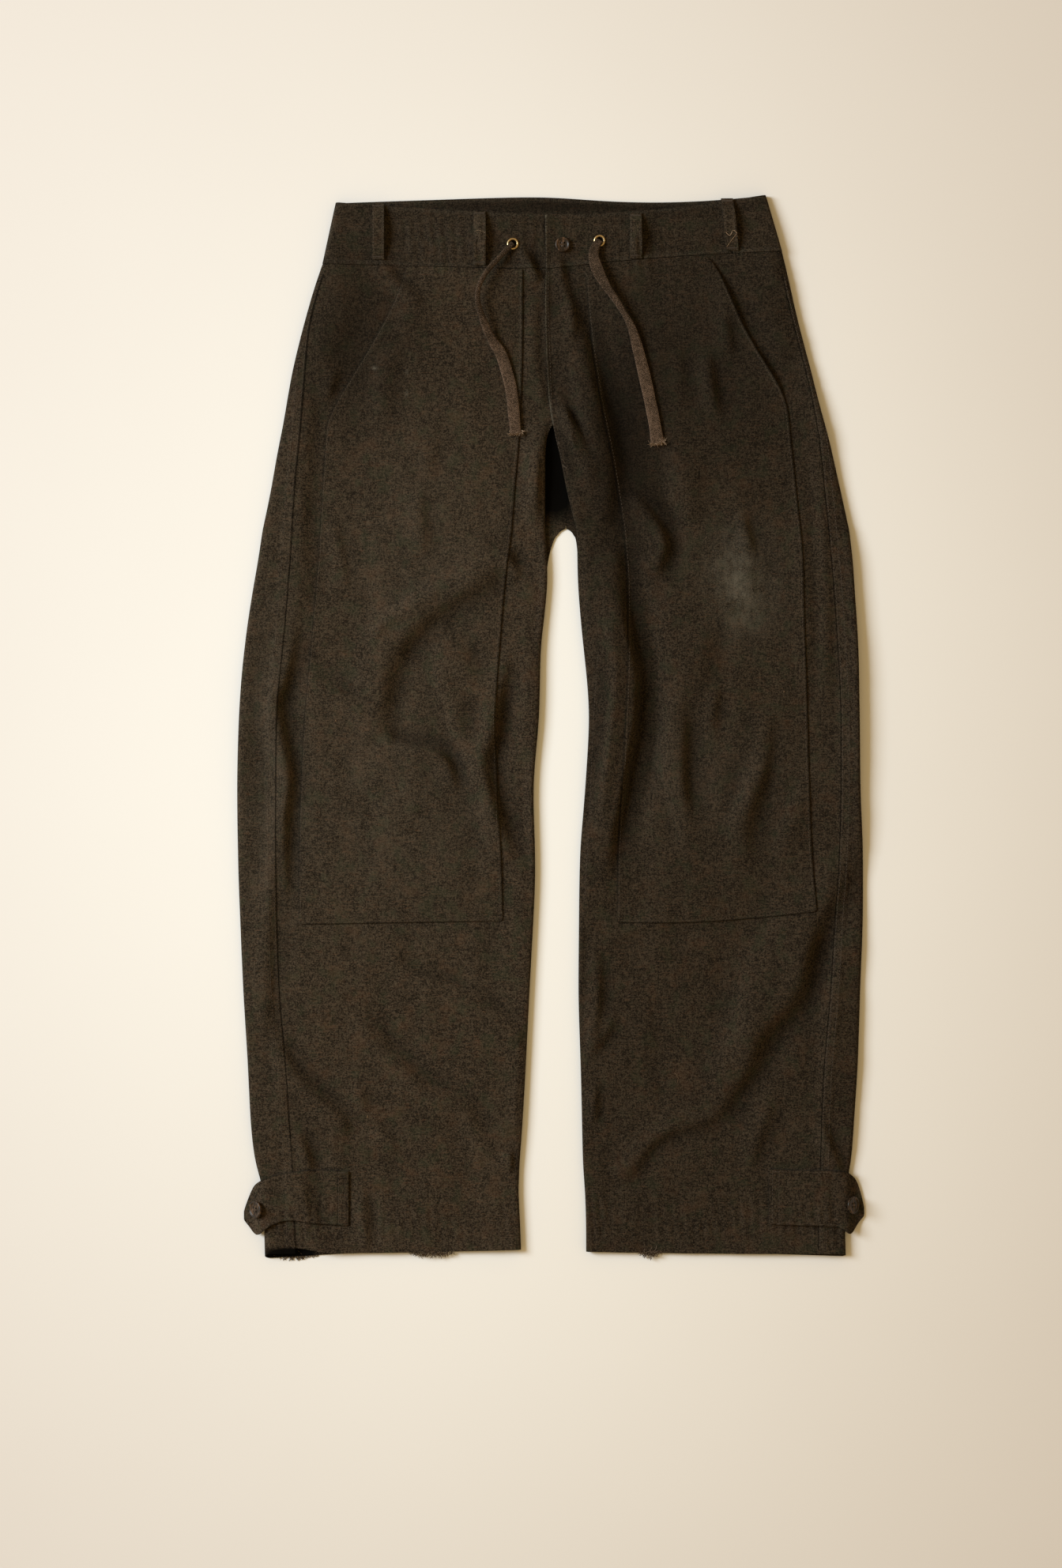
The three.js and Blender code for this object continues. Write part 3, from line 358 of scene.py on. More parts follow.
PUCKERS = (
    Pucker("right_outseam", 13.0, 0.32, 9.0, ((-230, 968), (-237, 878), (-245, 799), (-259, 623),
                                              (-267, 510), (-267, 323), (-260, 176), (-250, 93), (-249, 15))),
    Pucker("left_outseam", 14.0, 0.32, 9.0, ((222, 971), (252, 872), (263, 812), (277, 648), (283, 500),
                                             (281, 383), (273, 262), (264, 136), (261, 12))),
    Pucker("right_hem", 9.0, 0.7, 20.0, ((-276, 40), (-160, 40), (-32, 42))),
    Pucker("left_hem", 9.5, 0.8, 20.0, ((34, 40), (160, 39), (284, 39))),
    Pucker("right_patch_foot", 11.0, 0.55, 8.0, ((-245, 328), (-150, 327), (-47, 332))),
    Pucker("left_patch_foot", 11.0, 0.5, 8.0, ((65, 336), (160, 345), (259, 350))),
    Pucker("right_patch_inner", 12.0, 0.3, 8.0, ((-27, 968), (-28, 848), (-40, 698), (-54, 500), (-48, 332))),
    Pucker("left_patch_inner", 12.0, 0.3, 8.0, ((33, 967), (48, 838), (71, 715), (74, 560), (65, 338))),
    Pucker("right_patch_outer", 12.0, 0.26, 8.0, ((-218, 823), (-227, 690), (-240, 537), (-246, 328))),
    Pucker("left_patch_outer", 12.0, 0.26, 8.0, ((231, 838), (246, 690), (251, 537), (259, 350))),
    Pucker("band", 10.0, 0.8, 24.0, ((-150, 996), (0, 994), (160, 1000))),
    Pucker("band_foot", 10.5, 0.3, 9.0, ((-222, 968), (-110, 969), (0, 968), (120, 974), (225, 984))),
)

SIDE_SEAMS = {"right": PUCKERS[0].path, "left": PUCKERS[1].path}

# Soft unevenness of the cloth: how high, how wide, how much longer than wide, and its seed.
UNEVENNESS = ((0.9, 70.0, 1.0, 3), (0.6, 31.0, 1.0, 4), (0.8, 27.0, 4.0, 7), (0.5, 15.0, 5.0, 5),
              (0.16, 11.0, 1.0, 6))
UNDER_HEIGHT = 0.25  # the underside lies this much above its flat form on the whole
UNDER_SIZE = 48.0
FELL_HEIGHT = 0.55  # how much the double cloth of a felled seam stands up
WAIST_BUTTON_PLACE = (11.5, 991.0)
TAB_BUTTON_PLACE = {"right": (-286.0, 51.0), "left": (293.0, 56.0)}
# Round the eyelets and the buttons the cloth is held flat, within so many millimetres and by this share.
CALM_PLACES = (EYELET_PLACE["right"], EYELET_PLACE["left"], WAIST_BUTTON_PLACE, *TAB_BUTTON_PLACE.values())
CALM_REACH = 16.0
CALM_SHARE = 0.85
MAP_STEP = 1.25  # between the places of the maps, in millimetres
MAP_X = np.arange(-314.0, 314.0, MAP_STEP)
MAP_Y = np.arange(-10.0, 1048.0, MAP_STEP)
LEAST_RELIEF = -4.6  # creases go no deeper and no higher, in millimetres
MOST_RELIEF = 9.0
HOLLOW_CELLS = 22  # a place is hollow against its surroundings this many cells about
HOLLOW_DEPTH = 2.6  # and fully so when it lies this much lower
CREASE_END = 0.12  # what is left of a crease's depth at its two ends
CREASE_LIFT = 0.42  # the share of its drop by which a crease lifts the cloth about it
LEAST_TOP = 3.0  # the upper face of the front comes no lower, to clear the back
PATH_STEP = 6.0  # the steps along a crease and along a row of puckers
PUCKER_STEP = 8.0


def soft_noise(x, y, size, seed):
    """An even, soft unevenness of that size, from -1 to 1."""
    grid = np.random.default_rng(seed).uniform(-1, 1, (96, 96))
    u, v = x / size + 40.0, y / size + 10.0
    i, j = np.floor(u).astype(int) % 95, np.floor(v).astype(int) % 95
    s, t = ease(u - np.floor(u), 0, 1), ease(v - np.floor(v), 0, 1)
    low = grid[i, j] * (1 - s) + grid[i + 1, j] * s
    high = grid[i, j + 1] * (1 - s) + grid[i + 1, j + 1] * s
    return low * (1 - t) + high * t


def around(line, x, y, reach):
    return ((x > line[:, 0].min() - reach) & (x < line[:, 0].max() + reach)
            & (y > line[:, 1].min() - reach) & (y < line[:, 1].max() + reach))


def faded(along):
    """1 along most of a crease, less at its ends."""
    return CREASE_END + (1 - CREASE_END) * np.sin(math.pi * np.clip(along, 0, 1)) ** 0.55


def add_crease(height, crease, x, y, scale):
    line = smooth_line(crease.path, PATH_STEP)
    near = around(line, x, y, 2.6 * crease.reach)
    distance, across, along = beside(line, x[near], y[near])
    wander = 1 + 0.3 * soft_noise(x[near], y[near], 22.0, len(crease.name))
    step = CREASE_LIFT * np.sign(crease.drop) - np.tanh(across / (crease.width * wander))
    step = crease.drop * step * np.exp(-(distance / crease.reach) ** 2)
    groove = crease.groove * np.exp(-(across / (0.7 * crease.width)) ** 2 - (distance / crease.reach) ** 2)
    height[near] += scale * faded(along) * (step - groove)


def add_trough(height, trough, x, y, scale):
    line = smooth_line(trough.path, PATH_STEP)
    near = around(line, x, y, 3 * trough.width)
    distance, _, along = beside(line, x[near], y[near])
    height[near] += scale * trough.depth * faded(along) * np.exp(-(distance / trough.width) ** 2)


def add_rise(height, rise, x, y, scale):
    line = smooth_line(rise.path, PATH_STEP)
    near = around(line, x, y, 3 * rise.reach)
    distance, _, along = beside(line, x[near], y[near])
    height[near] += scale * rise.height * faded(along) * np.exp(-(distance / rise.reach) ** 2)


def softened(heights, cells):
    """A map blurred over some cells, both ways."""
    for axis in (0, 1):
        kernel = np.hanning(2 * cells + 3)
        heights = np.apply_along_axis(np.convolve, axis, heights, kernel / kernel.sum(), "same")
    return heights


def add_pucker(height, pucker, x, y):
    line = smooth_line(pucker.path, PUCKER_STEP)
    near = around(line, x, y, 2.4 * pucker.reach)
    distance, across, along = beside(line, x[near], y[near])
    run = along * run_of(line)[-1]
    seed = len(pucker.name) + 31
    side = np.sign(across)
    drift = 2.2 * soft_noise(run, side * 30.0, 2.6 * pucker.pitch, seed)
    strength = 0.6 + 0.6 * soft_noise(run, side * 50.0, 4.0 * pucker.pitch, seed + 1)
    wave = np.sin(2 * math.pi * run / pucker.pitch + drift + 0.05 * side * distance)
    height[near] += pucker.depth * strength * wave * np.exp(-(distance / pucker.reach) ** 2)


def seam_step(height, side, width, x, y):
    """The double cloth of the felled side seam, on the outer side of its line."""
    distance, across, _ = beside(smooth_line(SIDE_SEAMS[side], PUCKER_STEP), x, y)
    outward = distance * np.sign(across) * SIGN[side]
    height += FELL_HEIGHT * ease(outward, -1.0, 0.4) * (1 - ease(outward, width, width + 1.8))


@functools.lru_cache(maxsize=None)
def relief_maps(scale, felled_width):
    """Four maps: how far the cloth lies above its smooth form on top and underneath, how far its
    rolls rise, and how hollow it is, for the painted shade in its hollows."""
    x, y = np.meshgrid(MAP_X, MAP_Y, indexing="ij")
    top = scale * sum(high * soft_noise(x, y / longer, size, seed) for high, size, longer, seed in UNEVENNESS)
    for crease in CREASES:
        add_crease(top, crease, x, y, scale)
    for pucker in PUCKERS:
        add_pucker(top, pucker, x, y)
    for px, py in CALM_PLACES:
        top *= 1 - CALM_SHARE * np.exp(-((x - px) ** 2 + (y - py) ** 2) / CALM_REACH ** 2)
    for side in SIDES:
        seam_step(top, side, felled_width, x, y)
    under = UNDER_HEIGHT * (1 + soft_noise(x, y, UNDER_SIZE, 8))
    for trough in UNDER_TROUGHS:
        add_trough(under, trough, x, y, scale)
    rises = np.zeros(x.shape)
    for rise in RISES:
        add_rise(rises, rise, x, y, scale)
    hollow = (softened(top, HOLLOW_CELLS) - top) / HOLLOW_DEPTH
    return (np.clip(top, LEAST_RELIEF, MOST_RELIEF), np.clip(under, 0.0, MOST_RELIEF), rises,
            np.clip(hollow, 0.0, 1.0))


def read_map(heights, x, y):
    u = np.clip((x - MAP_X[0]) / MAP_STEP, 0, len(MAP_X) - 1.001)
    v = np.clip((y - MAP_Y[0]) / MAP_STEP, 0, len(MAP_Y) - 1.001)
    i, j = u.astype(int), v.astype(int)
    s, t = u - i, v - j
    low = heights[i, j] * (1 - s) + heights[i + 1, j] * s
    high = heights[i, j + 1] * (1 - s) + heights[i + 1, j + 1] * s
    return low * (1 - t) + high * t


def relief(context, x, y, *kinds):
    """The relief at some drawn places: "top" and "rises" together, or the kinds asked for."""
    sizes = context.scene.pants_sizes
    maps = dict(zip(("top", "under", "rises", "hollow"),
                    relief_maps(sizes.crease_scale, round(sizes.felled_width / MM, 3))))
    x, y = np.asarray(x, float), np.asarray(y, float)
    return sum(read_map(maps[kind], x, y) for kind in kinds or ("top", "rises"))


# ---- meshes ------------------------------------------------------------------------------

RIM_ANGLE = math.radians(66)


def deselect_all():
    for piece in bpy.context.selected_objects:
        piece.select_set(False)


def make_active(piece):
    deselect_all()
    piece.select_set(True)
    bpy.context.view_layer.objects.active = piece


def apply_modifier(piece, kind, **settings):
    make_active(piece)
    modifier = piece.modifiers.new(kind.title(), kind)
    for name, value in settings.items():
        setattr(modifier, name, value)
    bpy.ops.object.modifier_apply(modifier=modifier.name)


def new_piece(name, mesh):
    piece = bpy.data.objects.new(name, mesh)
    bpy.context.scene.collection.objects.link(piece)
    return piece


def piece_from(name, vertices, faces):
    mesh = bpy.data.meshes.new(name)
    mesh.from_pydata([tuple(v) for v in vertices], [], faces)
    mesh.validate()
    return new_piece(name, mesh)


def shade(piece, degrees):
    make_active(piece)
    bpy.ops.object.shade_smooth_by_angle(angle=math.radians(degrees))


def finish_piece(piece, material, slot, *nodes):
    piece.data.materials.clear()
    piece.data.materials.append(material)
    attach(piece, "root")
    if nodes:
        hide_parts(*nodes)
    return piece


def cloth_copy(node, name, levels, rim):
    """A finer copy of a cloth solid. Its rims stay put; rim is how sharp they are."""
    source = frame["nodes"][node].data
    bm = bmesh.new()
    corners = [bm.verts.new(vertex.co) for vertex in source.vertices]
    for polygon in source.polygons:
        bm.faces.new([corners[k] for k in polygon.vertices])
    bmesh.ops.remove_doubles(bm, verts=bm.verts[:], dist=2e-5)
    bmesh.ops.join_triangles(bm, faces=bm.faces[:], angle_face_threshold=math.radians(120),
                             angle_shape_threshold=math.radians(120))
    crease = bm.edges.layers.float.new("crease_edge")
    upper = bm.verts.layers.float.new("upper")
    for edge in bm.edges:
        if edge.calc_face_angle(0.0) > RIM_ANGLE:
            edge[crease] = rim
    for vertex in bm.verts:
        vertex[upper] = float(any(face.normal.z > 0.5 for face in vertex.link_faces))
    mesh = bpy.data.meshes.new(name)
    bm.to_mesh(mesh)
    bm.free()
    piece = new_piece(name, mesh)
    apply_modifier(piece, "SUBSURF", levels=levels, render_levels=levels)
    return piece


def places_of(piece):
    co = np.empty(len(piece.data.vertices) * 3, np.float64)
    piece.data.vertices.foreach_get("co", co)
    return co.reshape(-1, 3)


def set_places(piece, places):
    piece.data.vertices.foreach_set("co", places.astype(np.float32).ravel())
    piece.data.update()


def values_of(piece, name):
    values = np.empty(len(piece.data.vertices), np.float32)
    piece.data.attributes[name].data.foreach_get("value", values)
    return values


def write_values(piece, name, values):
    attribute = piece.data.attributes.new(name, "FLOAT", "POINT")
    attribute.data.foreach_set("value", np.asarray(values, np.float32))


def edge_of(piece, axis, pick, low, high, step=5.0):
    """The drawn outline of a piece: its furthest places across, step by step along an axis."""
    co = drawn(places_of(piece))
    ends = np.empty(len(piece.data.edges) * 2, np.int64)
    piece.data.edges.foreach_get("vertices", ends)
    a, b = co[ends[0::2]], co[ends[1::2]]
    line = []
    for place in np.arange(low, high + 0.1, step):
        crossing = (a[:, axis] - place) * (b[:, axis] - place) < 0
        p, q = a[crossing], b[crossing]
        if len(p) == 0:
            continue
        share = (place - p[:, axis]) / (q[:, axis] - p[:, axis])
        across = p[:, 1 - axis] + (q[:, 1 - axis] - p[:, 1 - axis]) * share
        furthest = across.max() if pick == "most" else across.min()
        line.append((place, furthest) if axis == 0 else (furthest, place))
    return np.array(line)


class Surface:
    """The upper face of some pieces, or their lower one, for what is sewn on them."""

    def __init__(self, pieces, under=False):
        bpy.context.view_layer.update()
        depsgraph = bpy.context.evaluated_depsgraph_get()
        self.trees = [BVHTree.FromObject(piece, depsgraph) for piece in pieces]
        self.under = under

    def height(self, x, y):
        """The height at a drawn place, in metres, or None beside the pieces."""
        way = Vector((0, 0, 1 if self.under else -1))
        start = at(x, y, -50 if self.under else 50)
        hits = [tree.ray_cast(start, way)[0] for tree in self.trees]
        heights = [hit.z for hit in hits if hit is not None]
        if not heights:
            return None
        return min(heights) if self.under else max(heights)

    def place(self, x, y):
        """The place of the face over or under a drawn one, or None beside the pieces."""
        z = self.height(x, y)
        return None if z is None else Vector((*at(x, y)[:2], z))


# ---- shader expressions --------------------------------------------------------------------


class Value:
    """A shader socket that Python expressions can work with."""

    def __init__(self, recipe, socket):
        self.recipe = recipe
        self.socket = socket

    def math(self, operation, *others):
        return self.recipe.node("ShaderNodeMath", {"operation": operation},
                                dict(enumerate((self, *others))))

    def _reflected(self, operation, other):
        return self.recipe.node("ShaderNodeMath", {"operation": operation}, {0: other, 1: self})

    def __add__(self, other):
        return self.math("ADD", other)

    def __radd__(self, other):
        return self._reflected("ADD", other)

    def __sub__(self, other):
        return self.math("SUBTRACT", other)

    def __rsub__(self, other):
        return self._reflected("SUBTRACT", other)

    def __mul__(self, other):
        return self.math("MULTIPLY", other)

    def __truediv__(self, other):
        return self.math("DIVIDE", other)

    def between(self, low, high):
        """0 below low, 1 above high, and a soft step in between."""
        return self.recipe.node("ShaderNodeMapRange", {"interpolation_type": "SMOOTHSTEP"},
                                {"Value": self, "From Min": low, "From Max": high})


class Recipe:
    """A material, and the nodes that make it."""

    def __init__(self, name, roughness, **constants):
        self.material = bpy.data.materials.new(name)
        self.material.use_nodes = True
        self.tree = self.material.node_tree
        self.tree.nodes.clear()
        self.surface = self.tree.nodes.new("ShaderNodeBsdfPrincipled")
        output = self.tree.nodes.new("ShaderNodeOutputMaterial")
        self.tree.links.new(self.surface.outputs["BSDF"], output.inputs["Surface"])
        self.set(Roughness=roughness, **constants)

    def set(self, **values):
        for name, value in values.items():
            self._fill(self.surface.inputs[name.replace("_", " ")], value)

    def _fill(self, socket, value):
        if isinstance(value, Value):
            self.tree.links.new(value.socket, socket)
        elif socket.type == "RGBA" and len(value) == 3:
            socket.default_value = (*value, 1.0)
        else:
            socket.default_value = value

    def node(self, kind, settings=None, inputs=None, output=0):
        node = self.tree.nodes.new(kind)
        for name, value in (settings or {}).items():
            setattr(node, name, value)
        for name, value in (inputs or {}).items():
            self._fill(node.inputs[name], value)
        return Value(self, node.outputs[output])

    def mix(self, share, first, second):
        return self.node("ShaderNodeMix", {"data_type": "RGBA", "clamp_factor": True},
                         {0: share, 6: first, 7: second}, 2)

    def attribute(self, name):
        return self.node("ShaderNodeAttribute", {"attribute_name": name}, output="Fac")

    def object_place(self):
        """The place on the garment, and its x, y and z, in metres."""
        place = self.node("ShaderNodeTexCoord", output="Object")
        return place, [self.node("ShaderNodeSeparateXYZ", None, {"Vector": place}, k) for k in "XYZ"]

    def noise(self, vector, scale, detail=2.0, roughness=0.5):
        return self.node("ShaderNodeTexNoise", None, {
            "Vector": vector, "Scale": scale, "Detail": detail, "Roughness": roughness})

    def stretched(self, place, x, y, z=1.0):
        return self.node("ShaderNodeVectorMath", {"operation": "MULTIPLY"}, {0: place, 1: (x, y, z)})

    def bump(self, height, distance, strength=1.0):
        self.set(Normal=self.node("ShaderNodeBump", None, {
            "Height": height, "Distance": distance, "Strength": strength}))


# Spots on the cloth: rubbed and stained places, deeper tones and painted shade; x, y, half width, half height
# and strength.
Spot = namedtuple("Spot", "name x y wide high strength")

WORN_SPOTS = (
    Spot("left_thigh", 178, 674, 25, 36, 0.36),
    Spot("left_thigh_low", 194, 638, 24, 32, 0.24),
    Spot("left_thigh_all", 184, 664, 38, 54, 0.12),
    Spot("left_knee", 150, 470, 70, 60, 0.07),
    Spot("right_thigh", -125, 700, 75, 110, 0.10),
    Spot("right_knee", -160, 440, 95, 110, 0.12),
    Spot("right_outer", -275, 480, 30, 260, 0.12),
    Spot("right_band", -110, 1000, 70, 20, 0.05),
    Spot("mark_a", -171.7, 871, 2.4, 1.6, 0.7),
    Spot("mark_b", -140, 867, 1.6, 2.6, 0.6),
    Spot("mark_c", -140.4, 846, 1.5, 3.0, 0.5),
)

# Where the cloth is darker: a deeper tone on the hips and beside the fly, and painted shade on the inner left
# thigh by the crotch and on the back of the band inside the waist.
DEEP_AND_SHADED_SPOTS = (
    Spot("right_hip", -190, 900, 70, 95, 0.55),
    Spot("left_hip", 170, 890, 95, 120, 0.42),
    Spot("left_thigh_in", 72, 790, 42, 130, 0.62),
    Spot("right_fly", -20, 900, 45, 120, 0.20),
    Spot("back_band", 20, 1030, 170, 9, 0.60),
)


def spots(recipe, table, x, y):
    """How far each place lies within the spots of a table."""
    total = 0.0
    for spot in table:
        centre = at(spot.x, spot.y)
        u = (x - centre.x) / (spot.wide * MM)
        v = (y - centre.y) / (spot.high * MM)
        total = (u * u + v * v).math("MULTIPLY", -1.0).math("EXPONENT") * spot.strength + total
    return total


# How light the cloth of each piece is.
SHADES = {"right": 1.05, "left": 0.82, "band": 0.80, "loop": 1.05}
# The unevenness of the cloth, as features to a metre.
HEATHER, FLECKS, SLUBS = 880.0, 820.0, 900.0
CLOUDS, PATCHES, TINTS = 13.0, 52.0, 64.0
STREAKS, SWAY = 190.0, 330.0
SLUB_STRETCH = 0.13  # the width of a slub as a share of its length
SWAY_YARNS = 2.2  # how far the yarns wander, in yarns
# How much each unevenness lightens or darkens the cloth, about the middle of its two shades.
GRAIN = {"fleck": 0.8, "heather": 2.4, "slub": 0.8, "end": 0.7, "weave": 0.15, "cloud": 0.35, "patch": 0.18}
GRAIN_MIDDLE = 0.42
# How much the painted line of shade along a sewn edge darkens the cloth.
SEAM_SHADE = 0.6


@functools.lru_cache(maxsize=None)
def canvas_material(name, shade_scale):
    """Heathered canvas: a plain weave with slubs, cloudy shades and rubbed places."""
    colours = bpy.context.scene.pants_colours
    pitch = bpy.context.scene.pants_sizes.weave_pitch
    recipe = Recipe(name, 0.9, Specular_IOR_Level=0.04, Sheen_Weight=0.02, Sheen_Roughness=0.45)
    place, (x, y, _) = recipe.object_place()
    turn = 2 * math.pi / pitch
    sway = recipe.noise(place, SWAY, 2.0)
    weft = ((y + sway * (SWAY_YARNS * pitch)) * turn).math("SINE")
    warp = ((x + sway * (SWAY_YARNS * pitch)) * turn).math("SINE")
    cells = recipe.node("ShaderNodeTexVoronoi", {"feature": "F1"}, {"Vector": place, "Scale": FLECKS},
                        "Color")
    grain = {
        "weave": weft * warp * 0.5 + 0.5,
        "heather": recipe.noise(place, HEATHER, 2.0, 0.7),
        "fleck": recipe.node("ShaderNodeSeparateColor", None, {"Color": cells}, "Red"),
        "slub": recipe.noise(recipe.stretched(place, SLUB_STRETCH, 1.0), SLUBS, 1.0),
        "end": recipe.noise(recipe.stretched(place, 1.0, SLUB_STRETCH), SLUBS, 1.0),
        "cloud": recipe.noise(place, CLOUDS, 3.0, 0.6),
        "patch": recipe.noise(place, PATCHES, 3.0, 0.6),
    }
    heather, slub, patch = grain["heather"], grain["slub"], grain["patch"]
    light = GRAIN_MIDDLE
    for layer, share in GRAIN.items():
        light = (grain[layer] - 0.5) * share + light
    deep = [c * shade_scale for c in colours.canvas_deep]
    pale = [c * shade_scale for c in colours.canvas_light]
    colour = recipe.mix(light, deep, pale)
    tint = recipe.noise(recipe.stretched(place, 1.0, 1.0, 3.0), TINTS, 2.0).between(0.52, 0.70) * 0.30
    colour = recipe.mix(tint, colour, [c * shade_scale for c in colours.canvas_green])
    rust = slub.between(0.60, 0.74) * 0.30 + patch.between(0.52, 0.74) * 0.20
    colour = recipe.mix(rust, colour, [c * shade_scale for c in colours.canvas_rust])
    # Darker in the deep spots: a deeper tone, and painted shade.
    colour = recipe.mix(spots(recipe, DEEP_AND_SHADED_SPOTS, x, y), colour, [c * 0.5 for c in deep])
    # Painted shade in the hollows of the cloth, darkened towards near black.
    colour = recipe.mix(recipe.attribute("hollow") * 0.45, colour, [c * 0.10 for c in deep])
    streak = recipe.noise(recipe.stretched(place, 1.0, 0.4), STREAKS, 2.0, 0.6)
    # Paler where the cloth is rubbed in spots and along its edges, and a painted highlight on the folded
    # lips.
    rubbed_and_highlight = 0.55 + (heather - 0.5) * 1.7 + (patch - 0.5) * 1.4 + (streak - 0.5) * 1.3
    rubbed_and_highlight = spots(recipe, WORN_SPOTS, x, y) * rubbed_and_highlight
    rubbed_and_highlight = rubbed_and_highlight + recipe.attribute("wear") * (heather.between(0.36, 0.66) * 0.12 + 0.01)
    colour = recipe.mix(rubbed_and_highlight, colour, list(colours.canvas_worn_and_highlight))
    # Painted shade: a thin dark line along each sewn edge.
    seam = SEAM_SHADE - recipe.attribute("seam").between(0.35, 1.0) * SEAM_SHADE
    colour = recipe.mix(seam, colour, [c * 0.25 for c in deep])
    recipe.set(Base_Color=colour, Roughness=0.86 + (heather - 0.5) * 0.2)
    yarns = grain["weave"] * 0.3 + heather * 0.8 + (slub - 0.5) * 0.5 + (grain["end"] - 0.5) * 0.4
    recipe.bump(yarns, 0.00028, 0.75)
    return recipe.material


# How many times paler than the sewing thread each kind of fibre is.
THREAD_PALE = {"thread": 1.0, "tape_fibre": 5.0, "fibre": 1.8, "lint": 8.0}


@functools.lru_cache(maxsize=None)
def thread_material(name):
    """Sewing thread, and paler fibres of the same make."""
    colours = bpy.context.scene.pants_colours
    pale = THREAD_PALE[name]
    dark = [min(0.7, c * (0.4 + 0.6 * pale)) for c in colours.thread]
    recipe = Recipe(name, 0.7, Specular_IOR_Level=0.35)
    place, _ = recipe.object_place()
    twist = recipe.noise(place, 2400.0, 1.0)
    light = [min(0.8, c * 2.1 * pale ** 1.02) for c in colours.thread]
    recipe.set(Base_Color=recipe.mix(twist.between(0.35, 0.65), dark, light))
    recipe.bump(twist, 0.0001, 0.5)
    return recipe.material


TAPE_DEEP = (330.0, 425.0)  # between these heights in the frame the tape grows deeper, towards the eyelets


@functools.lru_cache(maxsize=None)
def tape_material(name):
    """A flat woven tape. Its pattern follows u along the tape and v across it, in metres."""
    colours = bpy.context.scene.pants_colours
    recipe = Recipe(name, 0.88, Specular_IOR_Level=0.06, Sheen_Weight=0.04, Sheen_Roughness=0.4)
    uv = recipe.node("ShaderNodeUVMap", {"uv_map": "weave"})
    u = recipe.node("ShaderNodeSeparateXYZ", None, {"Vector": uv}, "X")
    v = recipe.node("ShaderNodeSeparateXYZ", None, {"Vector": uv}, "Y")
    place, (_, y, _) = recipe.object_place()
    heather = recipe.noise(place, 900.0, 2.0, 0.6)
    cloud = recipe.noise(place, 90.0, 2.0)
    high = y.between(TAPE_DEEP[0] * MM, TAPE_DEEP[1] * MM)
    chevron = ((v * 820.0).math("PINGPONG", 1.0) * 0.0013 + u + (cloud - 0.5) * 0.0006) * 3700.0
    ribs = chevron.math("SINE") * 0.5 + 0.5
    edge = v.math("ABSOLUTE").between(0.0040, 0.0054)
    light = ribs * 0.5 + (heather - 0.5) * 3.2 + (cloud - 0.5) * 1.1 + 0.22 + edge * 0.14 - high * 0.34
    recipe.set(Base_Color=recipe.mix(light, list(colours.tape_deep), list(colours.tape_light)))
    recipe.bump(ribs + heather * 0.5, 0.00035, 0.8)
    return recipe.material


@functools.lru_cache(maxsize=None)
def brass_material(name):
    colours = bpy.context.scene.pants_colours
    recipe = Recipe(name, 0.34, Metallic=1.0)
    place, _ = recipe.object_place()
    tarnish = recipe.noise(place, 420.0, 3.0, 0.6).between(0.42, 0.68)
    fine = recipe.noise(place, 2600.0, 2.0)
    dark = [c * 0.42 for c in colours.brass]
    recipe.set(Base_Color=recipe.mix(tarnish, list(colours.brass), dark),
               Roughness=0.30 + tarnish * 0.25 + (fine - 0.5) * 0.15)
    recipe.bump(fine, 0.00005, 0.4)
    return recipe.material


@functools.lru_cache(maxsize=None)
def horn_material(name):
    colours = bpy.context.scene.pants_colours
    recipe = Recipe(name, 0.34, Specular_IOR_Level=0.22)
    place, _ = recipe.object_place()
    streak = recipe.noise(recipe.stretched(place, 1.0, 0.28), 520.0, 4.0, 0.62)
    fine = recipe.noise(place, 3200.0, 2.0)
    amber = [colours.horn[0] * 9.0, colours.horn[1] * 8.0, colours.horn[2] * 7.0]
    recipe.set(Base_Color=recipe.mix(streak.between(0.46, 0.74), list(colours.horn), amber),
               Roughness=0.36 + (fine - 0.5) * 0.2 + streak.between(0.4, 0.7) * 0.08)
    recipe.bump(fine, 0.00004, 0.35)
    return recipe.material


# How far the painted pool of light on the floor reaches across and along, in metres.
FLOOR_LIGHT_POOL = (0.62, 0.86)


def floor_material():
    colours = bpy.context.scene.pants_colours
    recipe = Recipe("studio_floor", 0.95, Specular_IOR_Level=0.1)
    place, (x, y, _) = recipe.object_place()
    cloud = recipe.noise(place, 2.2, 3.0, 0.5)
    u, v = (x + 0.06) / FLOOR_LIGHT_POOL[0], (y + 0.06) / FLOOR_LIGHT_POOL[1]
    # Painted light fall-off: the floor darkens away from the painted pool of light, with a faint mottle.
    far = (u * u + v * v).math("MULTIPLY", -1.0).math("EXPONENT").math("MULTIPLY", -1.0) + 1.0
    far = far + (cloud - 0.5) * 0.12
    recipe.set(Base_Color=recipe.mix(far, list(colours.floor), list(colours.floor_painted_falloff)))
    return recipe.material


# ---- camera and drawstring -------------------------------------------------------------------

VIEW_CENTRE = (-19.25, 465.85)  # the drawn place in the middle of the view
VIEW_HIGH = 1527.7  # how much the view takes in from top to bottom, in millimetres
CLOTH_HEIGHT = 7.0  # at this height over the floor
SENSOR = 36.0
CLIP_END = 20.0


class PANTS_OT_camera(bpy.types.Operator):
    """Looks straight down on the laid out pants"""

    bl_idname = "pants.camera"
    bl_label = "Camera"

    def execute(self, context):
        height = context.scene.pants_studio.camera_height
        data = bpy.data.cameras.new("camera")
        data.sensor_fit = "VERTICAL"
        data.sensor_height = SENSOR
        data.lens = SENSOR * (height - CLOTH_HEIGHT * MM) / (VIEW_HIGH * MM)
        data.clip_end = CLIP_END
        camera = new_piece("camera", data)
        camera.location = at(*VIEW_CENTRE) + Vector((0, 0, height))
        context.scene.camera = camera
        context.scene.view_settings.view_transform = "Standard"
        return {"FINISHED"}


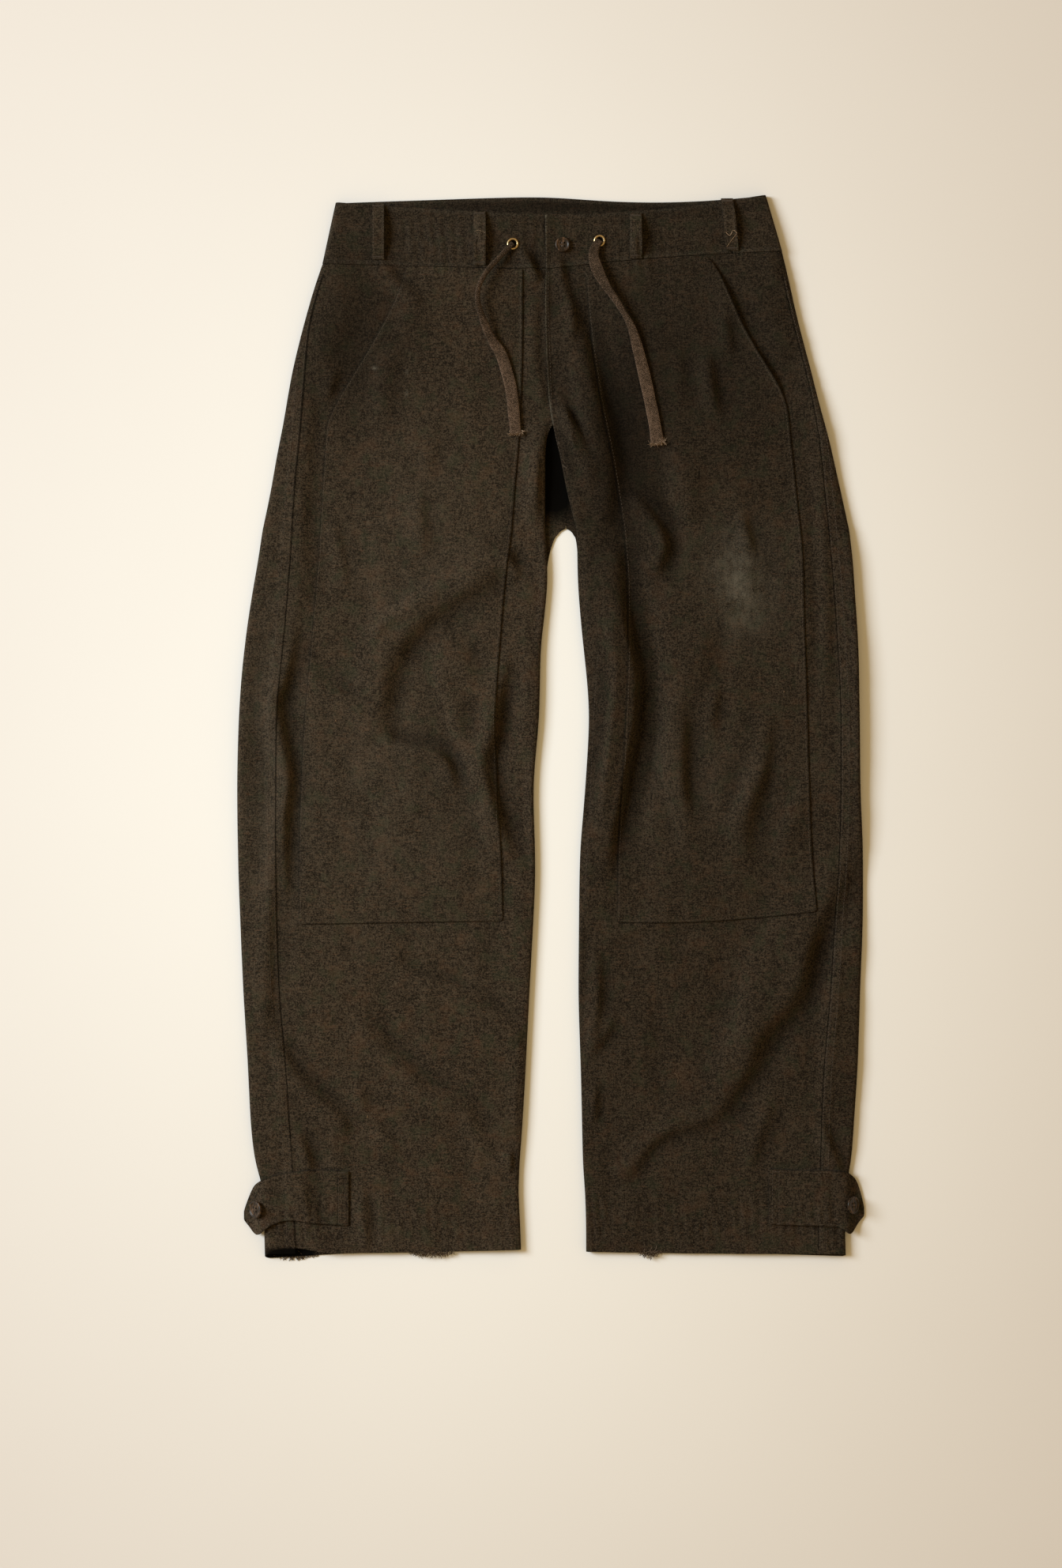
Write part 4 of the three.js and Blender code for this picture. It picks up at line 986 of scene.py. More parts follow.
TAPE_ROUTES = {
    "right": ((-37, 992, 10.7), (-49, 979, 13.6), (-62, 964, 16.6), (-70, 949, 18), (-71, 935, 18),
              (-67, 920, 16.6), (-58, 899, 13.2), (-49, 885, 11.2), (-42, 864, 9.8), (-38, 846, 9.4),
              (-36, 826, 9.4), (-34, 807, 9.8)),
    "left": ((47.5, 995, 10.8), (42, 984, 12.8), (44, 969, 15), (53, 951, 16), (66, 932, 15.2),
             (78, 911, 13.4), (85, 888, 11.6), (91, 864, 10.2), (97, 837, 9.4), (101, 817, 9.4),
             (104, 798, 9.4)),
}
# How wide and thick the tape is along its way, from its eyelet to its end, and how it leans.
TapeStation = namedtuple("TapeStation", "along wide thick lean")
TAPE_STATIONS = {
    "right": (TapeStation(0.0, 5.0, 3.4, 0), TapeStation(0.1, 5.0, 3.4, 10), TapeStation(0.25, 4.6, 3.4, 18),
              TapeStation(0.38, 6.0, 3.0, 12), TapeStation(0.5, 8.5, 2.3, 6), TapeStation(0.62, 11.4, 2.0, 0),
              TapeStation(0.9, 11.6, 2.0, 0), TapeStation(1.0, 10.6, 2.4, 0)),
    "left": (TapeStation(0.0, 7.0, 3.2, 0), TapeStation(0.06, 9.6, 2.6, 0), TapeStation(0.14, 11.6, 2.1, -4),
             TapeStation(0.28, 7.4, 2.8, -16), TapeStation(0.40, 6.2, 3.0, -16),
             TapeStation(0.52, 10.4, 2.2, -4), TapeStation(0.64, 11.6, 2.0, 0),
             TapeStation(0.92, 11.8, 2.0, 0), TapeStation(1.0, 13.0, 2.2, 0)),
}
CLOTH_UNDER_TAPE = ("front_right", "front_left", "double_front_right", "double_front_left",
                    "waistband_right", "waistband_left")
TAPE_STEP = 1.6
TAPE_AROUND = 16
TAPE_FLUTTER = 0.35  # how unevenly wide the tape is
TAPE_FRAYS = {"right": (110, 4.6), "left": (150, 6.0)}  # how many fibres fray from an end, and how long
FIBRE_SIDES = 3


def tape_section(wide, thick):
    """Places round a flat tape with soft edges."""
    ring = []
    for k in range(TAPE_AROUND):
        turn = 2 * math.pi * (k + 0.5) / TAPE_AROUND
        across, up = math.cos(turn), math.sin(turn)
        ring.append((wide / 2 * math.copysign(abs(across) ** 0.6, across),
                     thick / 2 * math.copysign(abs(up) ** 0.75, up)))
    return ring


def tape_stretch(context, side):
    route = np.array(TAPE_ROUTES[side], float)
    line = smooth_line(route, TAPE_STEP)
    run = run_of(line)
    below = Surface([frame["nodes"][node] for node in CLOTH_UNDER_TAPE])
    for place, lift in zip(line, relief(context, line[:, 0], line[:, 1])):
        cloth = below.height(place[0], place[1])
        if cloth is not None:
            place[2] = max(place[2], cloth / MM + lift + 0.7 * TAPE_THICK)
    stations = TAPE_STATIONS[side]
    known = [s.along for s in stations]
    share = run / run[-1]
    wide, thick, lean = (np.interp(share, known, [s[k] for s in stations]) for k in (1, 2, 3))
    flutter = soft_noise(run, run * 0, 9.0, 12) * TAPE_FLUTTER
    way = np.gradient(line, axis=0)
    vertices, uvs = [], []
    for k, place in enumerate(line):
        ahead = Vector(way[k]).normalized()
        across = ahead.cross(Vector((0, 0, 1))).normalized()
        up = across.cross(ahead)
        tilt = math.radians(lean[k])
        for a, b in tape_section(wide[k] + flutter[k], thick[k]):
            sideways = across * (a * math.cos(tilt) - b * math.sin(tilt))
            upwards = up * (a * math.sin(tilt) + b * math.cos(tilt))
            vertices.append(at(*(Vector(place) + sideways + upwards)))
            uvs.append((run[k] * MM, a * MM))
    return vertices, uvs, line


def tape_mesh(name, vertices, uvs):
    rings = len(vertices) // TAPE_AROUND
    faces = [(k * TAPE_AROUND + j, k * TAPE_AROUND + (j + 1) % TAPE_AROUND,
              (k + 1) * TAPE_AROUND + (j + 1) % TAPE_AROUND, (k + 1) * TAPE_AROUND + j)
             for k in range(rings - 1) for j in range(TAPE_AROUND)]
    faces.append(tuple(reversed(range(TAPE_AROUND))))
    faces.append(tuple(range((rings - 1) * TAPE_AROUND, rings * TAPE_AROUND)))
    piece = piece_from(name, vertices, faces)
    layer = piece.data.uv_layers.new(name="weave")
    for loop in piece.data.loops:
        layer.data[loop.index].uv = uvs[loop.vertex_index]
    bm = bmesh.new()
    bm.from_mesh(piece.data)
    bmesh.ops.recalc_face_normals(bm, faces=bm.faces[:])
    bm.to_mesh(piece.data)
    bm.free()
    return piece


def fibre(parts, points, radius):
    """Adds a fine tapered fibre through some places, in metres, to a list of parts."""
    vertices = [points[0]]
    for k in range(1, len(points) - 1):
        ahead = (points[k + 1] - points[k - 1]).normalized()
        across = ahead.orthogonal().normalized()
        up = ahead.cross(across)
        for j in range(FIBRE_SIDES):
            turn = 2 * math.pi * j / FIBRE_SIDES
            vertices.append(points[k] + across * (radius * math.cos(turn)) + up * (radius * math.sin(turn)))
    vertices.append(points[-1])
    rings = len(points) - 2
    faces = []
    for j in range(FIBRE_SIDES):
        after = (j + 1) % FIBRE_SIDES
        faces.append((0, 1 + after, 1 + j))
        for k in range(rings - 1):
            low, high = 1 + k * FIBRE_SIDES, 1 + (k + 1) * FIBRE_SIDES
            faces.append((low + j, low + after, high + after, high + j))
        last = 1 + (rings - 1) * FIBRE_SIDES
        faces.append((last + j, last + after, len(vertices) - 1))
    parts.append((vertices, faces))


def joined(name, parts):
    """One piece from many small closed parts."""
    vertices, faces = [], []
    for some, their in parts:
        base = len(vertices)
        vertices.extend(some)
        faces.extend(tuple(base + k for k in face) for face in their)
    return piece_from(name, vertices, faces)


def curled(start, heading, length, curl, lift, draw, steps=5):
    """Places along a short curling fibre that leaves a place in a direction on the floor."""
    points = [start]
    turn = heading
    bend = draw.uniform(-curl, curl)
    for k in range(steps):
        turn += bend / steps + draw.uniform(-0.25, 0.25)
        step = length / steps
        rise = lift * draw.uniform(-0.6, 1.0) / steps
        ahead = points[-1] + Vector((math.cos(turn) * step, math.sin(turn) * step, rise))
        ahead.z = max(ahead.z, 0.0003)
        points.append(ahead)
    return points


class PANTS_OT_drawstrings(bpy.types.Operator):
    """Weaves the two free ends of the flat drawstring, from the eyelets to their frayed ends"""

    bl_idname = "pants.drawstrings"
    bl_label = "Drawstrings"

    def execute(self, context):
        radius = context.scene.pants_sizes.fibre_radius
        for side in SIDES:
            vertices, uvs, line = tape_stretch(context, side)
            tape = tape_mesh(f"tape_{side}", vertices, uvs)
            shade(tape, 50)
            finish_piece(tape, tape_material("tape"), "tape", f"drawstring_{side}")
            ends = self.frayed_end(side, line, radius)
            finish_piece(ends, thread_material("tape_fibre"), "tape")
            path = [at(*place) for place in line]
        return {"FINISHED"}

    def frayed_end(self, side, line, radius):
        draw = random.Random(len(side) * 7)
        end, before = Vector(line[-1]), Vector(line[-6])
        ahead = (end - before).normalized()
        across = ahead.cross(Vector((0, 0, 1)))
        heading = math.atan2(ahead.y, ahead.x)
        parts = []
        count, longest = TAPE_FRAYS[side]
        for _ in range(count):
            place = end - ahead * draw.uniform(0.2, 2.4) + across * draw.uniform(-6.2, 6.2)
            place.z += draw.uniform(-0.8, 1.0)
            start = at(*place)
            length = draw.uniform(0.4, 1.0) * longest * MM
            points = curled(start, heading + draw.gauss(0, 0.75), length, 2.4, 0.002, draw, 4)
            fibre(parts, points, radius * draw.uniform(0.8, 1.5))
        return joined(f"tape_fray_{side}", parts)


# ---- legs ----------------------------------------------------------------------------------

CLOTH_LEVELS = 3
RIM_SHARP = 0.82
# Which end of a row across a leg is its outer or its inner edge.
OUTER = {"right": "least", "left": "most"}
INNER = {"right": "most", "left": "least"}
NO_SEAM = 12.0  # beyond this many millimetres from a sewn edge, nothing is marked
NOT_RUBBED = 1100.0  # a height over the waist: nowhere fully rubbed
# How strongly a folded lip is painted pale as a highlight, and how wide that is.
LIP_HIGHLIGHT = 6.0
LIP_WIDE = 1.4


def mark_edges(piece, lines, reach, softness=0.0, rubbed_from=0.0, lips=()):
    """Marks how far each place is from the sewn edges, for the painted line of shade along them, and where
    the cloth is paler along them, rubbed, and on folded lips a painted highlight: fully above a height, and a
    little below it. Softness makes the painted line of the seam fainter. A lip is a folded edge, painted pale
    as a highlight."""
    co = drawn(places_of(piece))
    seam = np.full(len(co), NO_SEAM)
    for line in lines:
        near = around(line, co[:, 0], co[:, 1], NO_SEAM)
        distance, _, _ = beside(line, co[near, 0], co[near, 1])
        seam[near] = np.minimum(seam[near], distance)
    write_values(piece, "seam", seam + softness)
    share = 0.15 + 0.85 * ease(co[:, 1], rubbed_from - 8, rubbed_from + 8)
    wear = share * np.exp(-((seam - reach) / reach) ** 2)
    # A painted highlight along each folded lip.
    for line in lips:
        near = around(line, co[:, 0], co[:, 1], 6.0)
        distance, _, _ = beside(line, co[near, 0], co[near, 1])
        wear[near] += LIP_HIGHLIGHT * np.exp(-(distance / LIP_WIDE) ** 2)
    write_values(piece, "wear", wear)


SEAT_SEAM = (708.0, 962.0)  # from here to here up the garment the backs are sewn to each other
SEAM_CLOSE = 0.75  # how far each back moves to meet the other one
FRONT_TUCK = 0.5  # how far the top of a front goes under the band
LAID_FROM = (1.6, 5.0)  # between these heights the creases from above come up to their full depth
UNDER_TO = (1.4, 3.0)  # and between these ones those from below fade out
FLY_LIP = Rise("fly_lip", 2.6, 5.0, ((-5, 984), (-5.5, 966), (-5.6, 930), (-4.6, 880), (-2.5, 845),
                                     (1, 818)))
ROW_STEP = 3.0  # the steps along a sewn row
HEM_RAISED = (-252.0, 24.0, 22.0, 6.5)  # x, half width, reach up the leg and rise of the front's hem
# Painted shade within the fronts, by the crotch and behind the right hem: x, y, half width, half height and
# depth.
INNER_SHADES = ((1.0, 776.0, 26.0, 54.0, 3.4), (-254.0, 7.0, 27.0, 6.5, 4.0))


def mark_painted_shade(context, piece, inner=False):
    """Marks the painted shade: the hollows of the cloth, and on the backs the dark places within the fronts.
    """
    mm = drawn(places_of(piece))
    hollow = relief(context, mm[:, 0], mm[:, 1], "hollow")
    if inner:
        for x, y, wide, high, depth in INNER_SHADES:
            hollow += depth * np.exp(-((mm[:, 0] - x) / wide) ** 2 - ((mm[:, 1] - y) / high) ** 4)
    write_values(piece, "hollow", hollow)


def upper_heights(piece, mm):
    """The height of a piece's upper face over each of some drawn places, in millimetres."""
    surface = Surface([piece])
    heights = [surface.height(x, y) for x, y in mm[:, :2]]
    return np.array([mm[k, 2] if z is None else z / MM for k, z in enumerate(heights)])


def crease_front(context, piece, side):
    """Creases a front, but not where its inner edge is turned under."""
    co = places_of(piece)
    mm = drawn(co)
    least = np.minimum(LEAST_TOP - upper_heights(piece, mm), 0.0)
    inner = edge_of(piece, 1, INNER[side], 5, 1045, 8.0)
    edge = np.interp(mm[:, 1], inner[:, 1], inner[:, 0])
    inside = (mm[:, 0] - edge) * SIGN[side]
    share = np.maximum(ease(inside, 2.0, 9.0), ease(mm[:, 1], 940.0, 962.0))
    co[:, 1] += FRONT_TUCK * ease(mm[:, 1], 950.0, 966.0) * MM
    if side == "left":
        add_rise(co[:, 2], FLY_LIP, mm[:, 0], mm[:, 1], MM)
    if side == "right":
        x, wide, high, rise = HEM_RAISED
        co[:, 1] += rise * np.exp(-((mm[:, 0] - x) / wide) ** 2 - (mm[:, 1] / high) ** 2) * MM
    lift = np.maximum(relief(context, mm[:, 0], mm[:, 1], "top") * share, least)
    co[:, 2] += (lift + relief(context, mm[:, 0], mm[:, 1], "rises")) * MM
    set_places(piece, co)


def crease_back(context, piece, side):
    """Creases a back: fully on top, and as shallow troughs underneath. Its middle seam is closed."""
    co = places_of(piece)
    mm = drawn(co)
    middle = edge_of(piece, 1, INNER[side], *SEAT_SEAM, 6.0)
    inside = (mm[:, 0] - np.interp(mm[:, 1], middle[:, 1], middle[:, 0])) * SIGN[side]
    within = (mm[:, 1] > SEAT_SEAM[0]) & (mm[:, 1] < SEAT_SEAM[1])
    co[:, 0] -= SIGN[side] * SEAM_CLOSE * np.exp(-(inside / 2.5) ** 2) * within * MM
    top = ease(mm[:, 2], *LAID_FROM)
    under = 1 - ease(mm[:, 2], *UNDER_TO)
    lift = np.maximum(relief(context, mm[:, 0], mm[:, 1]), LEAST_TOP - np.maximum(mm[:, 2], LEAST_TOP + 1.5))
    co[:, 2] += lift * top * MM
    co[:, 2] += relief(context, mm[:, 0], mm[:, 1], "under") * under * MM
    set_places(piece, co)


def lay_on(piece, before, after):
    """Lays a second layer on the creased front, from where it lay on the smooth one."""
    co = places_of(piece)
    upper = values_of(piece, "upper")
    mm = drawn(co)
    gape = np.zeros(len(co))
    for rise in GAPES:
        add_rise(gape, rise, mm[:, 0], mm[:, 1], 1.0)
    down = Vector((0, 0, -1))
    for k, place in enumerate(co):
        start = Vector((place[0], place[1], 0.05))
        old, new = before.ray_cast(start, down)[0], after.ray_cast(start, down)[0]
        if old is None or new is None:
            continue
        rise = max(place[2] - old.z, (0.8 * GAP + upper[k] * CANVAS * 0.95) * MM)
        co[k, 2] = new.z + rise + gape[k] * MM
    set_places(piece, co)


class PANTS_OT_legs(bpy.types.Operator):
    """Creases the fronts, the backs and the second layers on the fronts"""

    bl_idname = "pants.legs"
    bl_label = "Legs"

    def execute(self, context):
        for side in SIDES:
            front = cloth_copy(f"front_{side}", f"front_cloth_{side}", CLOTH_LEVELS, 1.0)
            panel = cloth_copy(f"double_front_{side}", f"panel_cloth_{side}", CLOTH_LEVELS, RIM_SHARP)
            back = cloth_copy(f"back_{side}", f"back_cloth_{side}", CLOTH_LEVELS, 1.0)
            before = Surface([front]).trees[0]
            crease_front(context, front, side)
            lay_on(panel, before, Surface([front]).trees[0])
            crease_back(context, back, side)
            for piece in (front, panel, back):
                mark_painted_shade(context, piece, piece is back)
            self.finish(side, front, panel, back)
        return {"FINISHED"}

    def finish(self, side, front, panel, back):
        seam = edge_of(front, 1, OUTER[side], 12, 966)
        edges = [edge_of(panel, 1, pick[side], 340, 960) for pick in (OUTER, INNER)]
        edges.append(edge_of(panel, 0, "least", *sorted((SIGN[side] * 68, SIGN[side] * 244))))
        fly = [smooth_line(FLY_LIP.path, ROW_STEP)] if side == "left" else []
        mark_edges(front, [seam], 1.6, rubbed_from=NOT_RUBBED, lips=fly)
        mark_edges(panel, edges, 1.7, rubbed_from=842.0)
        mark_edges(back, [offset_line(seam, 0.8)], 1.6, rubbed_from=NOT_RUBBED)
        for piece, kind, below in ((front, "front", back), (panel, "double_front", front),
                                   (back, "back", "studio_floor")):
            shade(piece, 48)
            finish_piece(piece, canvas_material(f"canvas_{side}", SHADES[side]), "canvas", f"{kind}_{side}")


# ---- waistband, loops and tabs ---------------------------------------------------------------

BAND_LIP = Rise("band_lip", 1.8, 5.0, ((-5.5, 940), (-5.5, 968), (-5.3, 1012), (-5.2, 1040)))


def crease_small(context, piece, bulge=0.0):
    """Moves a small piece of cloth with what it lies on. A strap bulges between its ends."""
    co = places_of(piece)
    mm = drawn(co)
    top = ease(mm[:, 2], *LAID_FROM)
    co[:, 2] += relief(context, mm[:, 0], mm[:, 1]) * top * MM
    share = (mm[:, 1] - mm[:, 1].min()) / np.ptp(mm[:, 1])
    co[:, 2] += bulge * np.sin(math.pi * np.clip(share * 1.12 - 0.06, 0, 1)) ** 0.7 * top * MM
    set_places(piece, co)
    mark_painted_shade(context, piece)


class PANTS_OT_waistband(bpy.types.Operator):
    """Makes the waistband: one long piece round the back, and two across the front"""

    bl_idname = "pants.waistband"
    bl_label = "Waistband"

    def execute(self, context):
        for part in ("back", "right", "left"):
            band = cloth_copy(f"waistband_{part}", f"band_{part}", 4 if part == "back" else 3, 0.9)
            crease_small(context, band)
            if part == "left":
                co = places_of(band)
                mm = drawn(co)
                add_rise(co[:, 2], BAND_LIP, mm[:, 0], mm[:, 1], MM)
                set_places(band, co)
            low = edge_of(band, 0, "least", -220, 220, 4.0)
            high = edge_of(band, 0, "most", -220, 220, 4.0)
            picks = {"left": ("most",), "right": ("least",), "back": ("least", "most")}[part]
            ends = [edge_of(band, 1, pick, 965, 1024, 3.0) for pick in picks]
            lips = [smooth_line(BAND_LIP.path, ROW_STEP)] if part == "left" else []
            mark_edges(band, [low, high, *ends], 1.8, softness=0.55, lips=lips)
            shade(band, 50)
            finish_piece(band, canvas_material("canvas_band", SHADES["band"]), "canvas", f"waistband_{part}")
        return {"FINISHED"}


LOOPS = ("side_right", "front_right", "front_left", "side_left")
LOOP_BULGE = 4.8


class PANTS_OT_belt_loops(bpy.types.Operator):
    """Makes the four belt loops"""

    bl_idname = "pants.belt_loops"
    bl_label = "Belt loops"

    def execute(self, context):
        for name in LOOPS:
            loop = cloth_copy(f"belt_loop_{name}", f"loop_{name}", 3, 0.86)
            crease_small(context, loop, LOOP_BULGE)
            co = drawn(places_of(loop))
            sides = [np.array([(x, co[:, 1].min()), (x, co[:, 1].max())])
                     for x in (co[:, 0].min(), co[:, 0].max())]
            mark_edges(loop, sides, 1.2, softness=0.3)
            shade(loop, 50)
            finish_piece(loop, canvas_material("canvas_loop", SHADES["loop"]), "canvas", f"belt_loop_{name}")
        return {"FINISHED"}


TAB_SPAN = {"right": (200, 284), "left": (216, 290)}  # from the middle of the garment outwards
TAB_FOLD = (34.0, 92.0)  # up the garment, from here to here
TAB_FOLDS = {"right": (-208.0, -198.4), "left": (213.6, 220.8)}  # where a tab's end is folded under


class PANTS_OT_hem_tabs(bpy.types.Operator):
    """Makes the tabs that are sewn to the hems and turn round the side"""

    bl_idname = "pants.hem_tabs"
    bl_label = "Hem tabs"

    def execute(self, context):
        for side in SIDES:
            tab = cloth_copy(f"hem_tab_{side}", f"tab_{side}", 3, 0.88)
            crease_small(context, tab)
            low, high = sorted(SIGN[side] * across for across in TAB_SPAN[side])
            edges = [edge_of(tab, 0, pick, low, high) for pick in ("least", "most")]
            edges += [np.array([(x, TAB_FOLD[0]), (x, TAB_FOLD[1])]) for x in TAB_FOLDS[side]]
            mark_edges(tab, edges, 1.5, rubbed_from=NOT_RUBBED)
            shade(tab, 50)
            finish_piece(tab, canvas_material(f"canvas_{side}", SHADES[side]), "canvas", f"hem_tab_{side}")
        return {"FINISHED"}


# ---- eyelets and buttons ----------------------------------------------------------------------

Ring = namedtuple("Ring", "radius height")

EYELET_RINGS = (
    Ring(3.5, -2.7), Ring(4.2, -2.7), Ring(4.25, -0.1), Ring(5.3, 0.0), Ring(5.7, 0.25), Ring(5.8, 0.6),
    Ring(5.65, 0.98), Ring(5.3, 1.28), Ring(4.85, 1.45), Ring(4.4, 1.46), Ring(4.0, 1.3), Ring(3.7, 0.98),
    Ring(3.53, 0.55), Ring(3.5, 0.1),
)


def turned(name, rings, place, segments, closed):
    """Turns a profile: a circle that is extruded and scaled ring by ring.
    A closed one comes back to its first ring, and the others are filled at both ends."""
    deselect_all()
    first = rings[0]
    centre = place + Vector((0, 0, first.height * MM))
    bpy.ops.mesh.primitive_circle_add(vertices=segments, radius=first.radius * MM, location=centre)
    piece = bpy.context.object
    piece.name = name
    bpy.ops.object.mode_set(mode="EDIT")
    bpy.ops.mesh.select_all(action="SELECT")
    if not closed:
        bpy.ops.mesh.edge_face_add()
    for before, ring in zip(rings, rings[1:]):
        step = Vector((0, 0, (ring.height - before.height) * MM))
        bpy.ops.mesh.extrude_region_move(TRANSFORM_OT_translate={"value": step})
        scale = ring.radius / before.radius
        centre = place + Vector((0, 0, ring.height * MM))
        bpy.ops.transform.resize(value=(scale, scale, 1), center_override=centre)
    if closed:
        bpy.ops.mesh.select_all(action="DESELECT")
        bpy.ops.mesh.select_non_manifold()
        bpy.ops.mesh.bridge_edge_loops()
    bpy.ops.mesh.select_all(action="SELECT")
    bpy.ops.mesh.normals_make_consistent(inside=False)
    bpy.ops.object.mode_set(mode="OBJECT")
    piece.data.transform(piece.matrix_world)
    piece.matrix_world.identity()
    return piece


class PANTS_OT_eyelets(bpy.types.Operator):
    """Turns the two brass eyelets of the drawstring"""

    bl_idname = "pants.eyelets"
    bl_label = "Eyelets"

    def execute(self, context):
        for side in SIDES:
            low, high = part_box(f"eyelet_{side}")
            x, y = EYELET_PLACE[side]
            lift = float(relief(context, [x], [y])[0]) * MM
            place = Vector(((low.x + high.x) / 2, (low.y + high.y) / 2, high.z - 1.5 * MM + lift))
            eyelet = turned(f"eyelet_ring_{side}", EYELET_RINGS, place, 48, True)
            shade(eyelet, 40)
            finish_piece(eyelet, brass_material("brass"), "brass", f"eyelet_{side}")
        return {"FINISHED"}


BUTTON_HOLE = 0.9
BUTTON_HOLE_AT = 1.75
BUTTON_THICK = 2.9
BUTTON_LEAN = {"right": 42, "left": 46}
TAB_BUTTON_RADIUS = 8.5
WAIST_BUTTON_RADIUS = 7.3
# The profile of a button: how far in from its edge, and how high.
BUTTON_PROFILE = ((2.6, 0.0), (1.4, 0.15), (0.5, 0.6), (0.1, 1.1), (0.0, 1.6), (0.08, 2.15), (0.4, 2.6),
                  (0.9, 2.85), (1.4, 2.86), (1.9, 2.6), (2.3, 2.25), (2.9, 2.1), (3.6, 2.05))
# The path of a sewing thread through two holes: how far across, and how high.
SHANK_THREAD = ((-1.0, 1.2), (-0.92, 2.1), (-0.5, 2.5), (0.0, 2.62), (0.5, 2.5), (0.92, 2.1), (1.0, 1.2))


def button_rings(radius):
    """A sewn-through button: a rounded back, a raised rim and a dished middle."""
    return [Ring(radius - inwards, height) for inwards, height in BUTTON_PROFILE]


def drilled(piece, centre):
    """Cuts the four sewing holes."""
    for across, along in ((1, 1), (1, -1), (-1, 1), (-1, -1)):
        deselect_all()
        place = centre + Vector((across * BUTTON_HOLE_AT, along * BUTTON_HOLE_AT, 1.5)) * MM
        bpy.ops.mesh.primitive_cylinder_add(vertices=20, radius=BUTTON_HOLE * MM, depth=8 * MM,
                                            location=place)
        drill = bpy.context.object
        apply_modifier(piece, "BOOLEAN", operation="DIFFERENCE", object=drill, solver="EXACT")
        bpy.data.objects.remove(drill)


def sewn_on(parts, centre, radius):
    """The threads that hold a button: three strands across each pair of holes."""
    for along in (-1, 1):
        for shift in (-0.35, 0.0, 0.35):
            reach = BUTTON_HOLE_AT * MM
            y = (along * BUTTON_HOLE_AT + shift) * MM
            points = [centre + Vector((t * reach, y * (1 - 0.25 * (1 - abs(t))), z * MM))
                      for t, z in SHANK_THREAD]
            fibre(parts, points, radius)


def leaned(piece, centre, degrees):
    """Tilts a finished piece about a line along the leg."""
    turn = math.radians(degrees)
    co = places_of(piece) - np.array(centre)
    x = co[:, 0] * math.cos(turn) + co[:, 2] * math.sin(turn)
    z = -co[:, 0] * math.sin(turn) + co[:, 2] * math.cos(turn)
    set_places(piece, np.stack([x, co[:, 1], z], axis=1) + np.array(centre))


class PANTS_OT_buttons(bpy.types.Operator):
    """Turns, drills and sews on the waist button and the two hem buttons"""

    bl_idname = "pants.buttons"
    bl_label = "Buttons"

    def execute(self, context):
        thread = context.scene.pants_sizes.thread_radius
        low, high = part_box("button_waist")
        seat = Vector(((low.x + high.x) / 2, (low.y + high.y) / 2, low.z))
        self.button("waist", seat, WAIST_BUTTON_RADIUS, 0.0, thread)
        for side in SIDES:
            low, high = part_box(f"button_hem_{side}")
            lean = SIGN[side] * BUTTON_LEAN[side]
            turn = math.radians(lean)
            half = Vector((math.sin(turn), 0, math.cos(turn))) * (BUTTON_THICK / 2 * MM)
            self.button(f"hem_{side}", (low + high) / 2 - half, TAB_BUTTON_RADIUS, lean, thread)
        return {"FINISHED"}

    def button(self, name, seat, radius, lean, thread):
        piece = turned(f"button_disc_{name}", button_rings(radius), seat, 56, False)
        drilled(piece, seat)
        parts = []
        sewn_on(parts, seat, thread * 1.3)
        strands = joined(f"button_thread_{name}", parts)
        for one in (piece, strands):
            leaned(one, seat, lean)
        shade(piece, 32)
        shade(strands, 60)
        finish_piece(piece, horn_material("horn"), "horn", f"button_{name}")
        finish_piece(strands, thread_material("thread"), "canvas")


# ---- stitching --------------------------------------------------------------------------------

STITCH_SIDES = 4
ROW_START = 0.3
STEEPEST_STITCH = 0.8  # a stitch that would climb more than this is left out
TACK_PITCH = 0.55
SEAM_ROW = 1.7  # how far in from a seam its first row of stitches is
FELLED_ROW = 0.9  # and how far in from the felled edge its second one is
PANEL_ROW = 1.9  # how far in from the edges of the second layer its rows are
TAB_ROW = 2.3
BAND_ROWS = (2.0, 17.5, 38.5)  # the height of each row over the foot of the band
BAND_FOOT = {"right": ((-222, 968.5), (-150, 969), (-80, 968.3), (-6, 967.6)),
             "left": ((4, 967.6), (80, 971.5), (150, 978.5), (226, 984.6))}
PANEL_REACH = {"right": (338, 956), "left": (358, 956)}  # up the garment, along the outer edge
PANEL_FOOT = {"right": (50, 243), "left": (68, 257)}  # from the middle outwards, along the lower edge
KNEE_ROWS = {"right": ((-229, 659), (-136, 656), (-47, 653)), "left": ((80, 666), (156, 673), (244, 678))}
HEM_ROWS = {"right": ((-277, 64), (-160, 66), (-34, 66)), "left": ((36, 68), (160, 67), (284, 68))}
INSEAM_ROW = ((46, 590), (42.4, 537), (40.0, 490), (38.2, 444), (36, 402), (33, 350))
TAB_REACH = {"right": (199, 290), "left": (215, 297)}  # from the middle outwards, along a tab
FLY_ROW = ((-4.4, 966), (-4.8, 930), (-3.0, 880), (-1.5, 840), (1.5, 810), (6, 790), (12, 776))
# Along the underside: the hems, the band, and both sides of the seat seam.
UNDER_ROWS = (((-268, 64), (-160, 66), (-36, 66)), ((40, 68), (160, 67), (274, 68)),
              ((-212, 1010), (0, 1012), (212, 1016)), ((-212, 972), (0, 970.5), (212, 980)),
              ((-3, 965), (-8, 880), (-12, 800), (-15, 740)), ((3, 965), (2, 880), (8, 800), (13, 740)))


